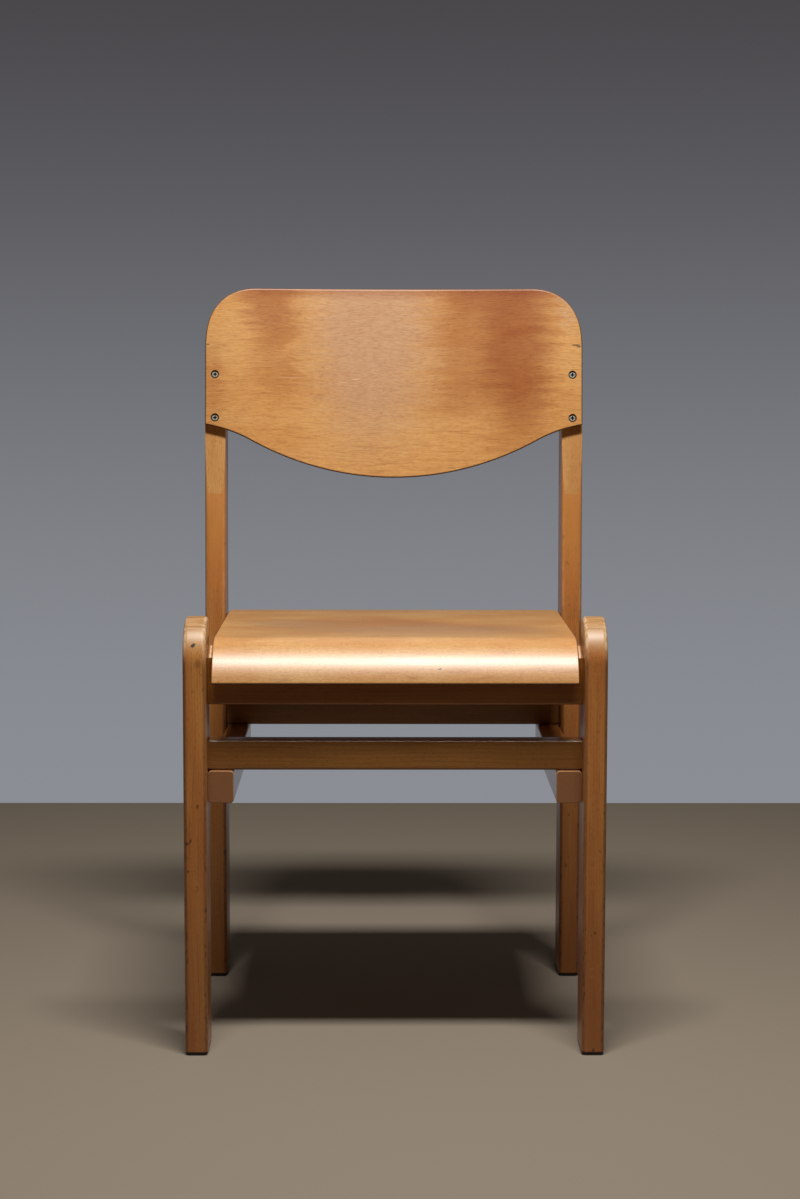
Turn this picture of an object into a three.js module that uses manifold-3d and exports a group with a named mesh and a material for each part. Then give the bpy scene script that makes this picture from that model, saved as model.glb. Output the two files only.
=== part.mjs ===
// Choir chair: a doweled frame of solid beech with a moulded plywood seat and backrest.
// Millimetres, +Z up. The chair faces -Y, X = 0 is its centre plane and the floor is Z = 0.
// Left and right are as seen by someone who stands in front of the chair: left is -X.
import * as THREE from "three";
import { mergeVertices } from "three/addons/utils/BufferGeometryUtils.js";
import Module from "manifold-3d";

// Frame as a whole
const frameWidth = 458; // over the outer faces of the legs
const seatHeight = 454; // floor to the top of the seat
const rearLegSpacing = 330; // front face of a front leg to front face of a rear leg
const glueGap = 0.2; // between pieces that lie flat against each other
const turnedGap = 0.3; // between the backrest, its screws and the posts, which lean
const cutOverrun = 5; // how far a cutting body runs past what it cuts

// Legs
const legThickness = 25;
const legDepth = 60;
const legEdgeRadius = 5;
const frontLegRise = 24; // top of a front leg above the seat
const frontLegCrownRadius = 47;
const frontLegBackRadius = 12;
const kneeHeight = 325; // where the rear legs start to lean back
const kneeBlend = 55; // half the length of the bend at the knee
const frontFaceLeanDegrees = 3.8;
const rearFaceLeanDegrees = 2.6;
const legTopRadius = 30;

// Glides under the feet
const glideThickness = 3;
const glideInset = 0.8;
const glideCornerRadius = 4;

// Rails under the seat
const railThickness = 25;
const railHeight = 62.5;
const railSetBack = 27; // front face of the front rail and stretcher behind the legs' front
const railRearSetBack = 20; // rear ends of the side rails before the legs' rear
const railEdgeRadius = 2.5;
const rearRailInset = 4; // rear edge of the seat to the rear face of the rear rail
const blockLeg = 36; // corner block, along each rail
const blockHeight = 28;
const blockTip = 6; // the block's sharp corners are cut off to this width
const blockScrewInset = 12;

// Stretchers
const crossStretcherDrop = 39; // underside of the rails to the top of the front and rear stretchers
const crossStretcherHeight = 33;
const crossStretcherThickness = 25;
const sideStretcherWidth = 28;
const sideStretcherHeight = 36;
const sideStretcherProud = 3; // its front end before the face of the front stretcher
const stretcherEdgeRadius = 3;
const barEndChamfer = 1.2;

// Seat
const seatPly = 8;
const seatLipRadius = 58; // outer radius of the bend at the front edge
const seatLipDrop = 44.5; // from the seat's top down to the lip's lower edge
const seatLipSetBack = 2; // front of the lip behind the legs' front
const seatSideGap = 5.5; // edge of the seat to the inner face of a leg
const seatRearGap = 5.5; // rear edge of the seat to the rear legs
const seatCornerRadius = 9;

// Backrest, measured along its own slope from the line where its seat on the posts starts
const millStartRise = 140; // top of the seat to that line
const backrestLeanDegrees = 7;
const backPly = 9;
const backSideInset = 0.5; // side edge of the panel inside the outer face of a leg
const backRise = 20.5; // from that line up to the panel's lowest point
const backHeight = 230;
const backSideRise = 63; // lowest point up to the lower end of the panel's sides
const backBellyRadiusShare = 1.602; // round belly of the lower edge, share of the half width
const backBellyHalfAngleDegrees = 28.5;
const backHipRadiusShare = 0.722; // hollow between belly and side, share of the half width
const backSideSlopeDegrees = 13;
const backTopCrown = 1.8; // rise of the top edge at its middle
const backCornerWidth = 68.5;
const backCornerHeight = 75.5;
const backCornerPower = 2.5; // 2 is an ellipse, more is squarer
const backSag = 20; // how far the panel is hollow for the sitter's back
const backFlatWidth = 38; // flat strip at each side, where it meets the post
const backBendRadius = 150; // bend from the flat strip into the hollow

// Dowels and screws
const dowelRadius = 4;
const dowelLength = 36;
const dowelChamfer = 1;
const dowelFit = 0.3; // play round a dowel, for glue
const dowelEndRoom = 1;
const railDowelSpacing = 36;
const stretcherDowelSpacing = 16;
const sideDowelSpacing = 18;
const screwRadius = 2.2;
const screwLength = 34; // under the head
const screwTip = 5;
const screwHeadRadius = 4.3;
const screwHeadHeight = 2.4;
const screwCrossWidth = 1.1;
const screwCrossLength = 4.6;
const screwCrossDepth = 1.4;
const screwSinkRadius = 5;
const screwSinkDepth = 4.2;
const screwFit = 0.3;
const lowerScrewRise = 71; // panel's lowest point up to the lower screws, along the slope
const backScrewSpacing = 52.5;
const legTopMargin = 29; // upper screws to the top of the posts, along the slope
const seatScrewBite = 5.5; // how far a seat screw enters the seat

// Facets of round shapes
const bendSteps = 5;
const cornerArcSteps = 2;
const edgeSteps = 3;
const chamferSteps = 1;
const dowelSides = 10;
const screwSides = 14;
const bellySteps = 14;
const hipSteps = 5;
const cornerSteps = 12;
const topSteps = 4;

// Worked out from the sizes above
const sides = [
  { name: "left", sign: -1 },
  { name: "right", sign: 1 },
];
const frontLean = THREE.MathUtils.degToRad(frontFaceLeanDegrees);
const rearLean = THREE.MathUtils.degToRad(rearFaceLeanDegrees);
const backrestLean = THREE.MathUtils.degToRad(backrestLeanDegrees);
const halfWidth = frameWidth / 2;
const innerX = halfWidth - legThickness; // inner faces of the legs
const footZ = glideThickness + glueGap;
const soleZ = footZ - 2 * legEdgeRadius; // a leg's outline starts here, to be cut off at footZ
const legMiddleX = innerX + legThickness / 2;
const rearFaceY = rearLegSpacing + legDepth;
const frontLegHeight = seatHeight + frontLegRise;
const millStartHeight = seatHeight + millStartRise;
const lipEnd = Math.asin(1 - seatLipDrop / seatLipRadius); // the bend stops so far before upright
const bendY = seatLipSetBack + seatLipRadius * Math.cos(lipEnd); // centre of the seat's bend
const bendZ = seatHeight - seatLipRadius;
const seatBackY = rearLegFrontAt(seatHeight) - seatRearGap;
const seatHalfWidth = innerX - seatSideGap;
const railTop = seatHeight - seatPly - glueGap;
const railMiddle = railTop - railHeight / 2;
const sideRailX = innerX - railThickness / 2;
const sideRailInnerX = innerX - glueGap - railThickness;
const barRearY = rearFaceY - railRearSetBack; // rear ends of the side rails and stretchers
const sideStretcherFrontY = railSetBack - sideStretcherProud;
const rearRailBackY = seatBackY - rearRailInset;
const crossStretcherTop = railTop - railHeight - crossStretcherDrop;
const crossStretcherMiddle = crossStretcherTop - crossStretcherHeight / 2;
const sideStretcherTop = crossStretcherTop - crossStretcherHeight - glueGap;
const sideStretcherMiddle = sideStretcherTop - sideStretcherHeight / 2;
const lowerScrewUp = backRise + lowerScrewRise;
const upperScrewUp = lowerScrewUp + backScrewSpacing;
const postTopUp = upperScrewUp + legTopMargin;
const backTopUp = backRise + backHeight;
const backHalfWidth = halfWidth - backSideInset;
const backFaceY = -turnedGap - backPly; // front face of the panel's flat strips
const sinkFloorY = backFaceY + screwSinkDepth;

// The front face of a rear leg at a height.
function rearLegFrontAt(z) {
  return rearLegSpacing + Math.max(0, z - kneeHeight) * Math.tan(frontLean);
}

const wasm = await Module();
wasm.setup();

const xAxis = new THREE.Vector3(1, 0, 0);
const yAxis = new THREE.Vector3(0, 1, 0);
const zAxis = new THREE.Vector3(0, 0, 1);

// Turns a shape drawn in Y and Z, extruded, to run along X; and one drawn in X and Z to run along -Y.
const runAlongX = new THREE.Matrix4().makeBasis(yAxis, zAxis, xAxis);
const runAlongY = new THREE.Matrix4().makeBasis(xAxis, zAxis, yAxis.clone().negate());

// The frame that the backrest and its screws stand in: it leans back from the line on the posts.
const backrestPlace = new THREE.Matrix4()
  .makeTranslation(0, rearLegFrontAt(millStartHeight), millStartHeight)
  .multiply(new THREE.Matrix4().makeRotationX(-backrestLean));

// A closed geometry as a solid that can be cut and joined.
function solidOf(geometry) {
  const bare = geometry.clone();
  bare.deleteAttribute("normal");
  bare.deleteAttribute("uv");
  const merged = mergeVertices(bare);
  return new wasm.Manifold(
    new wasm.Mesh({
      numProp: 3,
      vertProperties: merged.attributes.position.array,
      triVerts: new Uint32Array(merged.index.array),
    }),
  );
}

// A solid as a geometry again, moved so that its origin lies at a point of the chair.
function geometryOf(solid, origin) {
  const mesh = solid.getMesh();
  const geometry = new THREE.BufferGeometry();
  geometry.setAttribute("position", new THREE.BufferAttribute(mesh.vertProperties, mesh.numProp));
  geometry.setIndex(new THREE.BufferAttribute(mesh.triVerts, 1));
  geometry.translate(-origin.x, -origin.y, -origin.z);
  geometry.computeVertexNormals();
  return geometry;
}

function extrude(shape, length, curveSteps) {
  return new THREE.ExtrudeGeometry(shape, {
    depth: length,
    bevelEnabled: false,
    curveSegments: curveSteps,
  });
}

// An extrusion of a total length whose ends are rounded over, with the outline at its full size.
function extrudeRounded(shape, length, radius, curveSteps, roundSteps) {
  return new THREE.ExtrudeGeometry(shape, {
    depth: length - 2 * radius,
    bevelThickness: radius,
    bevelSize: radius,
    bevelOffset: -radius,
    bevelSegments: roundSteps,
    curveSegments: curveSteps,
  }).translate(0, 0, radius);
}

// A rectangle with rounded corners, centred on a point.
function roundedRectangle(centreX, centreY, width, height, radius) {
  const right = centreX + width / 2 - radius;
  const left = centreX - width / 2 + radius;
  const top = centreY + height / 2 - radius;
  const bottom = centreY - height / 2 + radius;
  const shape = new THREE.Shape();
  shape.absarc(right, bottom, radius, -Math.PI / 2, 0);
  shape.absarc(right, top, radius, 0, Math.PI / 2);
  shape.absarc(left, top, radius, Math.PI / 2, Math.PI);
  shape.absarc(left, bottom, radius, Math.PI, (3 * Math.PI) / 2);
  shape.closePath();
  return shape;
}

// A turned body about the Y axis from pairs of radius and height.
function turned(pairs, segments) {
  return new THREE.LatheGeometry(
    pairs.map(([radius, height]) => new THREE.Vector2(radius, height)),
    segments,
  );
}

function cylinder(radius, low, high, segments) {
  return turned([[0, low], [radius, low], [radius, high], [0, high]], segments);
}

// A matrix that takes the Y axis to another direction and the origin to a point.
function standing(direction, point) {
  const turn = new THREE.Quaternion().setFromUnitVectors(yAxis, direction);
  return new THREE.Matrix4().compose(point, turn, new THREE.Vector3(1, 1, 1));
}

// Dowels: each joint names the two pieces it holds, its centre and the way it points.
function dowelJoints() {
  const joints = [];
  const add = (name, pieces, y, z, x) => {
    joints.push({ name, pieces, centre: new THREE.Vector3(x, y, z) });
  };
  const stacked = (name, pieces, y, z, x, spacing) => {
    add(name + "_upper", pieces, y, z + spacing / 2, x);
    add(name + "_lower", pieces, y, z - spacing / 2, x);
  };
  const abreast = (name, pieces, y, z, x, spacing) => {
    add(name + "_front", pieces, y - spacing / 2, z, x);
    add(name + "_rear", pieces, y + spacing / 2, z, x);
  };
  for (const { name, sign } of sides) {
    const x = sign * innerX;
    const frontLeg = "front_leg_" + name;
    const rearLeg = "rear_leg_" + name;
    const sideRail = "side_rail_" + name;
    const sideStretcher = "side_stretcher_" + name;
    stacked(
      "dowel_front_rail_" + name,
      ["front_rail", frontLeg],
      railSetBack + railThickness / 2,
      railMiddle,
      x,
      railDowelSpacing,
    );
    stacked(
      "dowel_front_stretcher_" + name,
      ["front_stretcher", frontLeg],
      railSetBack + crossStretcherThickness / 2,
      crossStretcherMiddle,
      x,
      stretcherDowelSpacing,
    );
    stacked(
      "dowel_rear_stretcher_" + name,
      ["rear_stretcher", rearLeg],
      barRearY - crossStretcherThickness / 2,
      crossStretcherMiddle,
      x,
      stretcherDowelSpacing,
    );
    abreast(
      "dowel_side_stretcher_front_" + name,
      [sideStretcher, frontLeg],
      (sideStretcherFrontY + legDepth) / 2,
      sideStretcherMiddle,
      x,
      sideDowelSpacing,
    );
    abreast(
      "dowel_side_stretcher_back_" + name,
      [sideStretcher, rearLeg],
      (rearLegSpacing + barRearY) / 2,
      sideStretcherMiddle,
      x,
      sideDowelSpacing,
    );
    stacked(
      "dowel_side_rail_" + name,
      [sideRail, rearLeg],
      (rearLegFrontAt(railMiddle) + barRearY) / 2,
      railMiddle,
      x,
      railDowelSpacing,
    );
    stacked(
      "dowel_rear_rail_" + name,
      ["rear_rail", sideRail],
      rearRailBackY - railThickness / 2,
      railMiddle,
      sign * sideRailInnerX,
      railDowelSpacing,
    );
  }
  return joints;
}

const joints = dowelJoints();

function dowelBody() {
  const half = dowelLength / 2;
  const narrow = dowelRadius - dowelChamfer;
  return turned(
    [[0, -half], [narrow, -half], [dowelRadius, dowelChamfer - half],
      [dowelRadius, half - dowelChamfer], [narrow, half], [0, half]],
    dowelSides,
  );
}

// Cuts the holes of every dowel that ends in a piece.
function drillDowels(name, solid) {
  const reach = dowelLength / 2 + dowelEndRoom;
  const hole = cylinder(dowelRadius + dowelFit, -reach, reach, dowelSides);
  let drilled = solid;
  for (const joint of joints.filter(({ pieces }) => pieces.includes(name))) {
    const placed = hole.clone().applyMatrix4(standing(xAxis, joint.centre));
    drilled = drilled.subtract(solidOf(placed));
  }
  return drilled;
}

// Front leg: a board on edge with rounded arrises and a crown like the seat's front edge.
function frontLeg(side) {
  const crownZ = frontLegHeight - frontLegCrownRadius;
  const backZ = frontLegHeight - frontLegBackRadius;
  const outline = new THREE.Shape();
  outline.moveTo(0, soleZ);
  outline.lineTo(legDepth, soleZ);
  outline.lineTo(legDepth, backZ);
  outline.absarc(legDepth - frontLegBackRadius, backZ, frontLegBackRadius, 0, Math.PI / 2);
  outline.absarc(frontLegCrownRadius, crownZ, frontLegCrownRadius, Math.PI / 2, Math.PI);
  outline.closePath();
  return legBoard(outline, side);
}

// Rear leg: upright to the knee, then leaning back and tapering to its rounded top.
function rearLegOutline() {
  const topZ = millStartHeight + postTopUp * Math.cos(backrestLean);
  const rearLegBackAt = (z) => rearFaceY + (z - kneeHeight) * Math.tan(rearLean);
  const kneeLow = kneeHeight - kneeBlend;
  const kneeHigh = kneeHeight + kneeBlend;
  const outline = new THREE.Shape();
  outline.moveTo(rearLegSpacing, soleZ);
  outline.lineTo(rearFaceY, soleZ);
  outline.lineTo(rearFaceY, kneeLow);
  outline.quadraticCurveTo(rearFaceY, kneeHeight, rearLegBackAt(kneeHigh), kneeHigh);
  outline.lineTo(rearLegBackAt(topZ - legTopRadius), topZ - legTopRadius);
  outline.quadraticCurveTo(rearLegBackAt(topZ), topZ, rearLegBackAt(topZ) - legTopRadius, topZ);
  outline.lineTo(rearLegFrontAt(topZ), topZ);
  outline.lineTo(rearLegFrontAt(kneeHigh), kneeHigh);
  outline.quadraticCurveTo(rearLegSpacing, kneeHeight, rearLegSpacing, kneeLow);
  outline.closePath();
  return outline;
}

// The flat on a post that the backrest lies on, and the holes for its screws.
function millForBackrest(post, side) {
  const width = legThickness + 2 * cutOverrun;
  const height = postTopUp + cutOverrun;
  const flat = new THREE.BoxGeometry(width, legDepth, height)
    .translate(side.sign * legMiddleX, -legDepth / 2, height / 2)
    .applyMatrix4(backrestPlace);
  let milled = post.subtract(solidOf(flat));
  for (const up of [lowerScrewUp, upperScrewUp]) {
    const pilot = cylinder(
      screwRadius + screwFit,
      -cutOverrun,
      sinkFloorY + screwLength + screwFit,
      screwSides,
    )
      .translate(side.sign * legMiddleX, 0, up)
      .applyMatrix4(backrestPlace);
    milled = milled.subtract(solidOf(pilot));
  }
  return milled;
}

function rearLeg(side) {
  return millForBackrest(legBoard(rearLegOutline(), side), side);
}

// A leg's board from its side outline, which starts at the floor; the foot is cut square.
function legBoard(outline, side) {
  const board = extrudeRounded(outline, legThickness, legEdgeRadius, bendSteps, edgeSteps)
    .applyMatrix4(runAlongX)
    .translate(side.sign * legMiddleX - legThickness / 2, 0, 0);
  return solidOf(board).trimByPlane(zAxis.toArray(), footZ);
}

// The front rail reaches up into the seat's bend and follows its inside.
function frontRail() {
  const backY = railSetBack + railThickness;
  const profile = new THREE.Shape();
  profile.moveTo(railSetBack, railTop - railHeight);
  profile.lineTo(backY, railTop - railHeight);
  profile.lineTo(backY, railTop);
  profile.lineTo(railSetBack, railTop);
  profile.closePath();
  return crossBar(profile).subtract(bendRoom());
}

// What the seat's bend takes away from the pieces below it.
function bendRoom() {
  const profile = new THREE.Shape();
  profile.moveTo(bendY, seatHeight);
  profile.absarc(bendY, bendZ, seatLipRadius - seatPly - glueGap, Math.PI / 2, Math.PI);
  profile.lineTo(0, bendZ);
  profile.lineTo(0, seatHeight);
  profile.closePath();
  return solidOf(
    extrude(profile, frameWidth, bendSteps).applyMatrix4(runAlongX).translate(-halfWidth, 0, 0),
  );
}

// A bar across the chair between the inner faces of two legs.
function crossBar(profile) {
  const length = 2 * (innerX - glueGap);
  return solidOf(
    extrudeRounded(profile, length, barEndChamfer, cornerArcSteps, chamferSteps)
      .applyMatrix4(runAlongX)
      .translate(-length / 2, 0, 0),
  );
}

function crossStretcher(frontY) {
  return crossBar(
    roundedRectangle(
      frontY + crossStretcherThickness / 2,
      crossStretcherMiddle,
      crossStretcherThickness,
      crossStretcherHeight,
      stretcherEdgeRadius,
    ),
  );
}

function rearRail() {
  const length = 2 * (sideRailInnerX - glueGap);
  const profile = roundedRectangle(
    rearRailBackY - railThickness / 2,
    railMiddle,
    railThickness,
    railHeight,
    railEdgeRadius,
  );
  return solidOf(
    extrudeRounded(profile, length, barEndChamfer, cornerArcSteps, chamferSteps)
      .applyMatrix4(runAlongX)
      .translate(-length / 2, 0, 0),
  );
}

// A bar from front to back, drawn as its section in X and Z.
function lengthwiseBar(section, frontY) {
  return solidOf(
    extrudeRounded(section, barRearY - frontY, barEndChamfer, cornerArcSteps, chamferSteps)
      .applyMatrix4(runAlongY)
      .translate(0, barRearY, 0),
  );
}

function sideRail(side) {
  const section = roundedRectangle(
    side.sign * (sideRailX - glueGap),
    railMiddle,
    railThickness,
    railHeight,
    railEdgeRadius,
  );
  return lengthwiseBar(section, railSetBack + railThickness + glueGap).subtract(bendRoom());
}

function sideStretcher(side) {
  const section = roundedRectangle(
    side.sign * (innerX - glueGap - sideStretcherWidth / 2),
    sideStretcherMiddle,
    sideStretcherWidth,
    sideStretcherHeight,
    stretcherEdgeRadius,
  );
  return lengthwiseBar(section, sideStretcherFrontY);
}

// The four corner blocks: their inner corners, and the way each one points from there.
const blocks = [
  { end: "front", cornerY: railSetBack + railThickness + glueGap, toward: 1 },
  { end: "rear", cornerY: rearRailBackY - railThickness - glueGap, toward: -1 },
];

function blockScrewPlace(block, side) {
  return new THREE.Vector3(
    side.sign * (sideRailInnerX - glueGap - blockScrewInset),
    block.cornerY + block.toward * blockScrewInset,
    railTop - blockHeight,
  );
}

function cornerBlock(block, side) {
  const cornerX = side.sign * (sideRailInnerX - glueGap);
  const inward = -side.sign;
  const shape = new THREE.Shape(
    [[0, 0], [blockLeg, 0], [blockLeg, blockTip], [blockTip, blockLeg], [0, blockLeg]].map(
      ([along, across]) =>
        new THREE.Vector2(cornerX + inward * along, block.cornerY + block.toward * across),
    ),
  );
  const body = extrude(shape, blockHeight, cornerArcSteps).translate(0, 0, railTop - blockHeight);
  return solidOf(body).subtract(seatScrewHole(block, side)).subtract(bendRoom());
}

function seatScrewHole(block, side) {
  const hole = cylinder(
    screwRadius + screwFit,
    -cutOverrun,
    blockHeight + seatScrewBite + screwFit,
    screwSides,
  );
  return solidOf(hole.applyMatrix4(standing(zAxis, blockScrewPlace(block, side))));
}

// Seat: one sheet of plywood, flat behind and bent down at the front edge.
function seatPanel() {
  const profile = new THREE.Shape();
  profile.moveTo(seatBackY, seatHeight - seatPly);
  profile.lineTo(seatBackY, seatHeight);
  profile.absarc(bendY, bendZ, seatLipRadius, Math.PI / 2, Math.PI - lipEnd);
  profile.absarc(bendY, bendZ, seatLipRadius - seatPly, Math.PI - lipEnd, Math.PI / 2, true);
  profile.closePath();
  const sheet = extrude(profile, 2 * seatHalfWidth, bendSteps)
    .applyMatrix4(runAlongX)
    .translate(-seatHalfWidth, 0, 0);
  let seat = solidOf(sheet).intersect(solidOf(seatPlan()));
  for (const side of sides)
    for (const block of blocks) seat = seat.subtract(seatScrewHole(block, side));
  return seat;
}

// The seat's outline from above, with round rear corners.
function seatPlan() {
  const plan = new THREE.Shape();
  const cornerX = seatHalfWidth - seatCornerRadius;
  const cornerY = seatBackY - seatCornerRadius;
  plan.moveTo(-seatHalfWidth, seatLipSetBack - cutOverrun);
  plan.lineTo(seatHalfWidth, seatLipSetBack - cutOverrun);
  plan.absarc(cornerX, cornerY, seatCornerRadius, 0, Math.PI / 2);
  plan.absarc(-cornerX, cornerY, seatCornerRadius, Math.PI / 2, Math.PI);
  plan.closePath();
  return extrude(plan, seatHeight + cutOverrun, cornerArcSteps);
}

function arcPoints(centreX, centreY, radius, from, to, steps) {
  const points = [];
  for (let i = 0; i <= steps; i++) {
    const angle = from + ((to - from) * i) / steps;
    points.push([centreX + radius * Math.cos(angle), centreY + radius * Math.sin(angle)]);
  }
  return points;
}

// Half of the backrest's lower edge, from the middle to the side, in shares of the half width
// and of the rise at the side.
function backLowerEdgeShares() {
  const belly = THREE.MathUtils.degToRad(backBellyHalfAngleDegrees);
  const slope = THREE.MathUtils.degToRad(backSideSlopeDegrees);
  const quarter = Math.PI / 2;
  const round = backBellyRadiusShare;
  const hollow = backHipRadiusShare;
  const hipX = (round + hollow) * Math.sin(belly);
  const hipZ = round - (round + hollow) * Math.cos(belly);
  const lower = arcPoints(0, round, round, -quarter, belly - quarter, bellySteps);
  const hip = arcPoints(hipX, hipZ, hollow, quarter + belly, quarter + slope, hipSteps);
  const [hipEndX, hipEndZ] = hip[hip.length - 1];
  const sideZ = hipEndZ + (1 - hipEndX) * Math.tan(slope);
  return [...lower, ...hip.slice(1), [1, sideZ]].map(([x, z]) => [x, z / sideZ]);
}

// Half of the backrest's outline, from the lowest point round the right side to the top centre.
function backHalfOutline() {
  const lower = backLowerEdgeShares().map(([across, up]) => [
    across * backHalfWidth,
    backRise + up * backSideRise,
  ]);
  const corner = [];
  for (let i = 0; i <= cornerSteps; i++) {
    const angle = ((Math.PI / 2) * i) / cornerSteps;
    const across = Math.cos(angle) ** (2 / backCornerPower);
    const up = Math.sin(angle) ** (2 / backCornerPower);
    corner.push([
      backHalfWidth - backCornerWidth * (1 - across),
      backTopUp - backTopCrown - backCornerHeight * (1 - up),
    ]);
  }
  const topHalf = backHalfWidth - backCornerWidth;
  const top = [];
  for (let i = 1; i <= topSteps; i++) {
    const share = 1 - i / topSteps;
    top.push([topHalf * share, backTopUp - backTopCrown * share * share]);
  }
  return [...lower, ...corner, ...top];
}

function backOutline() {
  const half = backHalfOutline();
  const mirrored = half
    .slice(1, -1)
    .reverse()
    .map(([x, z]) => [-x, z]);
  return new THREE.Shape([...half, ...mirrored].map(([x, z]) => new THREE.Vector2(x, z)));
}

// The backrest from above: flat strips at the sides and one long hollow between them.
function backPlan() {
  const flatX = halfWidth - backFlatWidth;
  const turn = 2 * Math.atan(backSag / flatX);
  const hollowRadius = flatX / Math.sin(turn) - backBendRadius;
  const hollowY = backSag - hollowRadius;
  const quarter = Math.PI / 2;
  const plan = new THREE.Shape();
  plan.moveTo(-halfWidth, 0);
  plan.absarc(-flatX, backBendRadius, backBendRadius, -quarter, turn - quarter);
  plan.absarc(0, hollowY, hollowRadius, quarter + turn, quarter - turn, true);
  plan.absarc(flatX, backBendRadius, backBendRadius, -quarter - turn, -quarter);
  plan.lineTo(halfWidth, 0);
  plan.lineTo(halfWidth, backPly);
  plan.absarc(flatX, backBendRadius, backBendRadius - backPly, -quarter, -quarter - turn, true);
  plan.absarc(0, hollowY, hollowRadius + backPly, quarter - turn, quarter + turn);
  plan.absarc(-flatX, backBendRadius, backBendRadius - backPly, turn - quarter, -quarter, true);
  plan.lineTo(-halfWidth, backPly);
  plan.closePath();
  return plan;
}

// Backrest in its own leaning frame: the bent sheet, trimmed to its outline and drilled.
function backPanel() {
  const sheet = extrude(backPlan(), backTopUp, bendSteps).translate(0, backFaceY, 0);
  const depth = backSag + backPly + 2 * cutOverrun;
  const trim = extrude(backOutline(), depth, bendSteps)
    .applyMatrix4(runAlongY)
    .translate(0, backFaceY + depth - cutOverrun, 0);
  let panel = solidOf(sheet).intersect(solidOf(trim));
  for (const { x, up } of backScrewPlaces()) {
    const sink = cylinder(screwSinkRadius, backFaceY - cutOverrun, sinkFloorY, screwSides);
    const hole = cylinder(screwRadius + screwFit, backFaceY, cutOverrun, screwSides);
    panel = panel.subtract(solidOf(sink.translate(x, 0, up)));
    panel = panel.subtract(solidOf(hole.translate(x, 0, up)));
  }
  return panel;
}

function backScrewPlaces() {
  return sides.flatMap(({ name, sign }) => [
    { name: "backrest_screw_" + name + "_upper", x: sign * legMiddleX, up: upperScrewUp },
    { name: "backrest_screw_" + name + "_lower", x: sign * legMiddleX, up: lowerScrewUp },
  ]);
}

// Screw along Y with the underside of its head at the origin, the head towards -Y and a cross recess.
function screw(length) {
  const round = screwHeadRadius - screwHeadHeight / 2;
  const body = solidOf(
    turned(
      [[0, -screwHeadHeight], [round, -screwHeadHeight], [screwHeadRadius, -screwHeadHeight / 2],
        [screwHeadRadius, 0], [screwRadius, 0], [screwRadius, length - screwTip], [0, length]],
      screwSides,
    ),
  );
  const slotDepth = 2 * screwCrossDepth;
  const slots = [
    new THREE.BoxGeometry(screwCrossLength, slotDepth, screwCrossWidth),
    new THREE.BoxGeometry(screwCrossWidth, slotDepth, screwCrossLength),
  ];
  return slots.reduce(
    (rest, slot) => rest.subtract(solidOf(slot.translate(0, -screwHeadHeight, 0))),
    body,
  );
}

function glide(side, frontY) {
  const shape = roundedRectangle(
    side.sign * legMiddleX,
    frontY + legDepth / 2,
    legThickness - 2 * glideInset,
    legDepth - 2 * glideInset,
    glideCornerRadius,
  );
  return solidOf(extrude(shape, glideThickness, cornerArcSteps));
}

// Finishes
const beech = new THREE.MeshStandardMaterial({ color: 0xa9713f, roughness: 0.42, metalness: 0 });
const seatVeneer = new THREE.MeshStandardMaterial({ color: 0xd79a5f, roughness: 0.3, metalness: 0 });
const backVeneer = new THREE.MeshStandardMaterial({ color: 0xc88742, roughness: 0.34, metalness: 0 });
const dowelBeech = new THREE.MeshStandardMaterial({ color: 0xd2b48a, roughness: 0.7, metalness: 0 });
const steel = new THREE.MeshStandardMaterial({ color: 0xb8b8b4, roughness: 0.35, metalness: 1 });
const blackPlastic = new THREE.MeshStandardMaterial({ color: 0x161514, roughness: 0.6, metalness: 0 });

// A named piece of the chair, with its own origin, from a solid in the chair's place.
function piece(name, solid, material, origin) {
  const mesh = new THREE.Mesh(geometryOf(solid, origin), material);
  mesh.name = name;
  mesh.position.copy(origin);
  return mesh;
}

function framePiece(name, solid, origin) {
  return piece(name, drillDowels(name, solid), beech, origin);
}

function buildFrame() {
  const frame = new THREE.Group();
  const centre = new THREE.Vector3(0, railSetBack, railMiddle);
  frame.add(framePiece("front_rail", frontRail(), centre));
  frame.add(framePiece("rear_rail", rearRail(), new THREE.Vector3(0, rearRailBackY, railMiddle)));
  const low = new THREE.Vector3(0, railSetBack, crossStretcherMiddle);
  const lowRear = new THREE.Vector3(0, barRearY, crossStretcherMiddle);
  frame.add(framePiece("front_stretcher", crossStretcher(railSetBack), low));
  const rearStretcher = crossStretcher(barRearY - crossStretcherThickness);
  frame.add(framePiece("rear_stretcher", rearStretcher, lowRear));
  for (const side of sides) {
    const x = side.sign * innerX;
    const at = (y, z) => new THREE.Vector3(x, y, z);
    frame.add(framePiece("front_leg_" + side.name, frontLeg(side), at(0, footZ)));
    frame.add(framePiece("rear_leg_" + side.name, rearLeg(side), at(rearLegSpacing, footZ)));
    frame.add(framePiece("side_rail_" + side.name, sideRail(side), at(barRearY, railMiddle)));
    const stretcher = sideStretcher(side);
    frame.add(framePiece("side_stretcher_" + side.name, stretcher, at(barRearY, sideStretcherMiddle)));
  }
  return frame;
}

function buildDowels() {
  const group = new THREE.Group();
  for (const joint of joints) {
    const mesh = new THREE.Mesh(dowelBody(), dowelBeech);
    mesh.name = joint.name;
    mesh.applyMatrix4(standing(xAxis, joint.centre));
    group.add(mesh);
  }
  return group;
}

function buildSeat() {
  const group = new THREE.Group();
  const panel = piece("seat_panel", seatPanel(), seatVeneer, new THREE.Vector3(0, bendY, seatHeight));
  group.add(panel);
  const seatScrew = screw(blockHeight + seatScrewBite);
  for (const side of sides) {
    for (const block of blocks) {
      const place = blockScrewPlace(block, side);
      const name = block.end + "_" + side.name;
      group.add(piece("corner_block_" + name, cornerBlock(block, side), beech, place));
      const mesh = piece("seat_screw_" + name, seatScrew, steel, new THREE.Vector3());
      mesh.applyMatrix4(standing(zAxis, place));
      group.add(mesh);
    }
  }
  return group;
}

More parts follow.
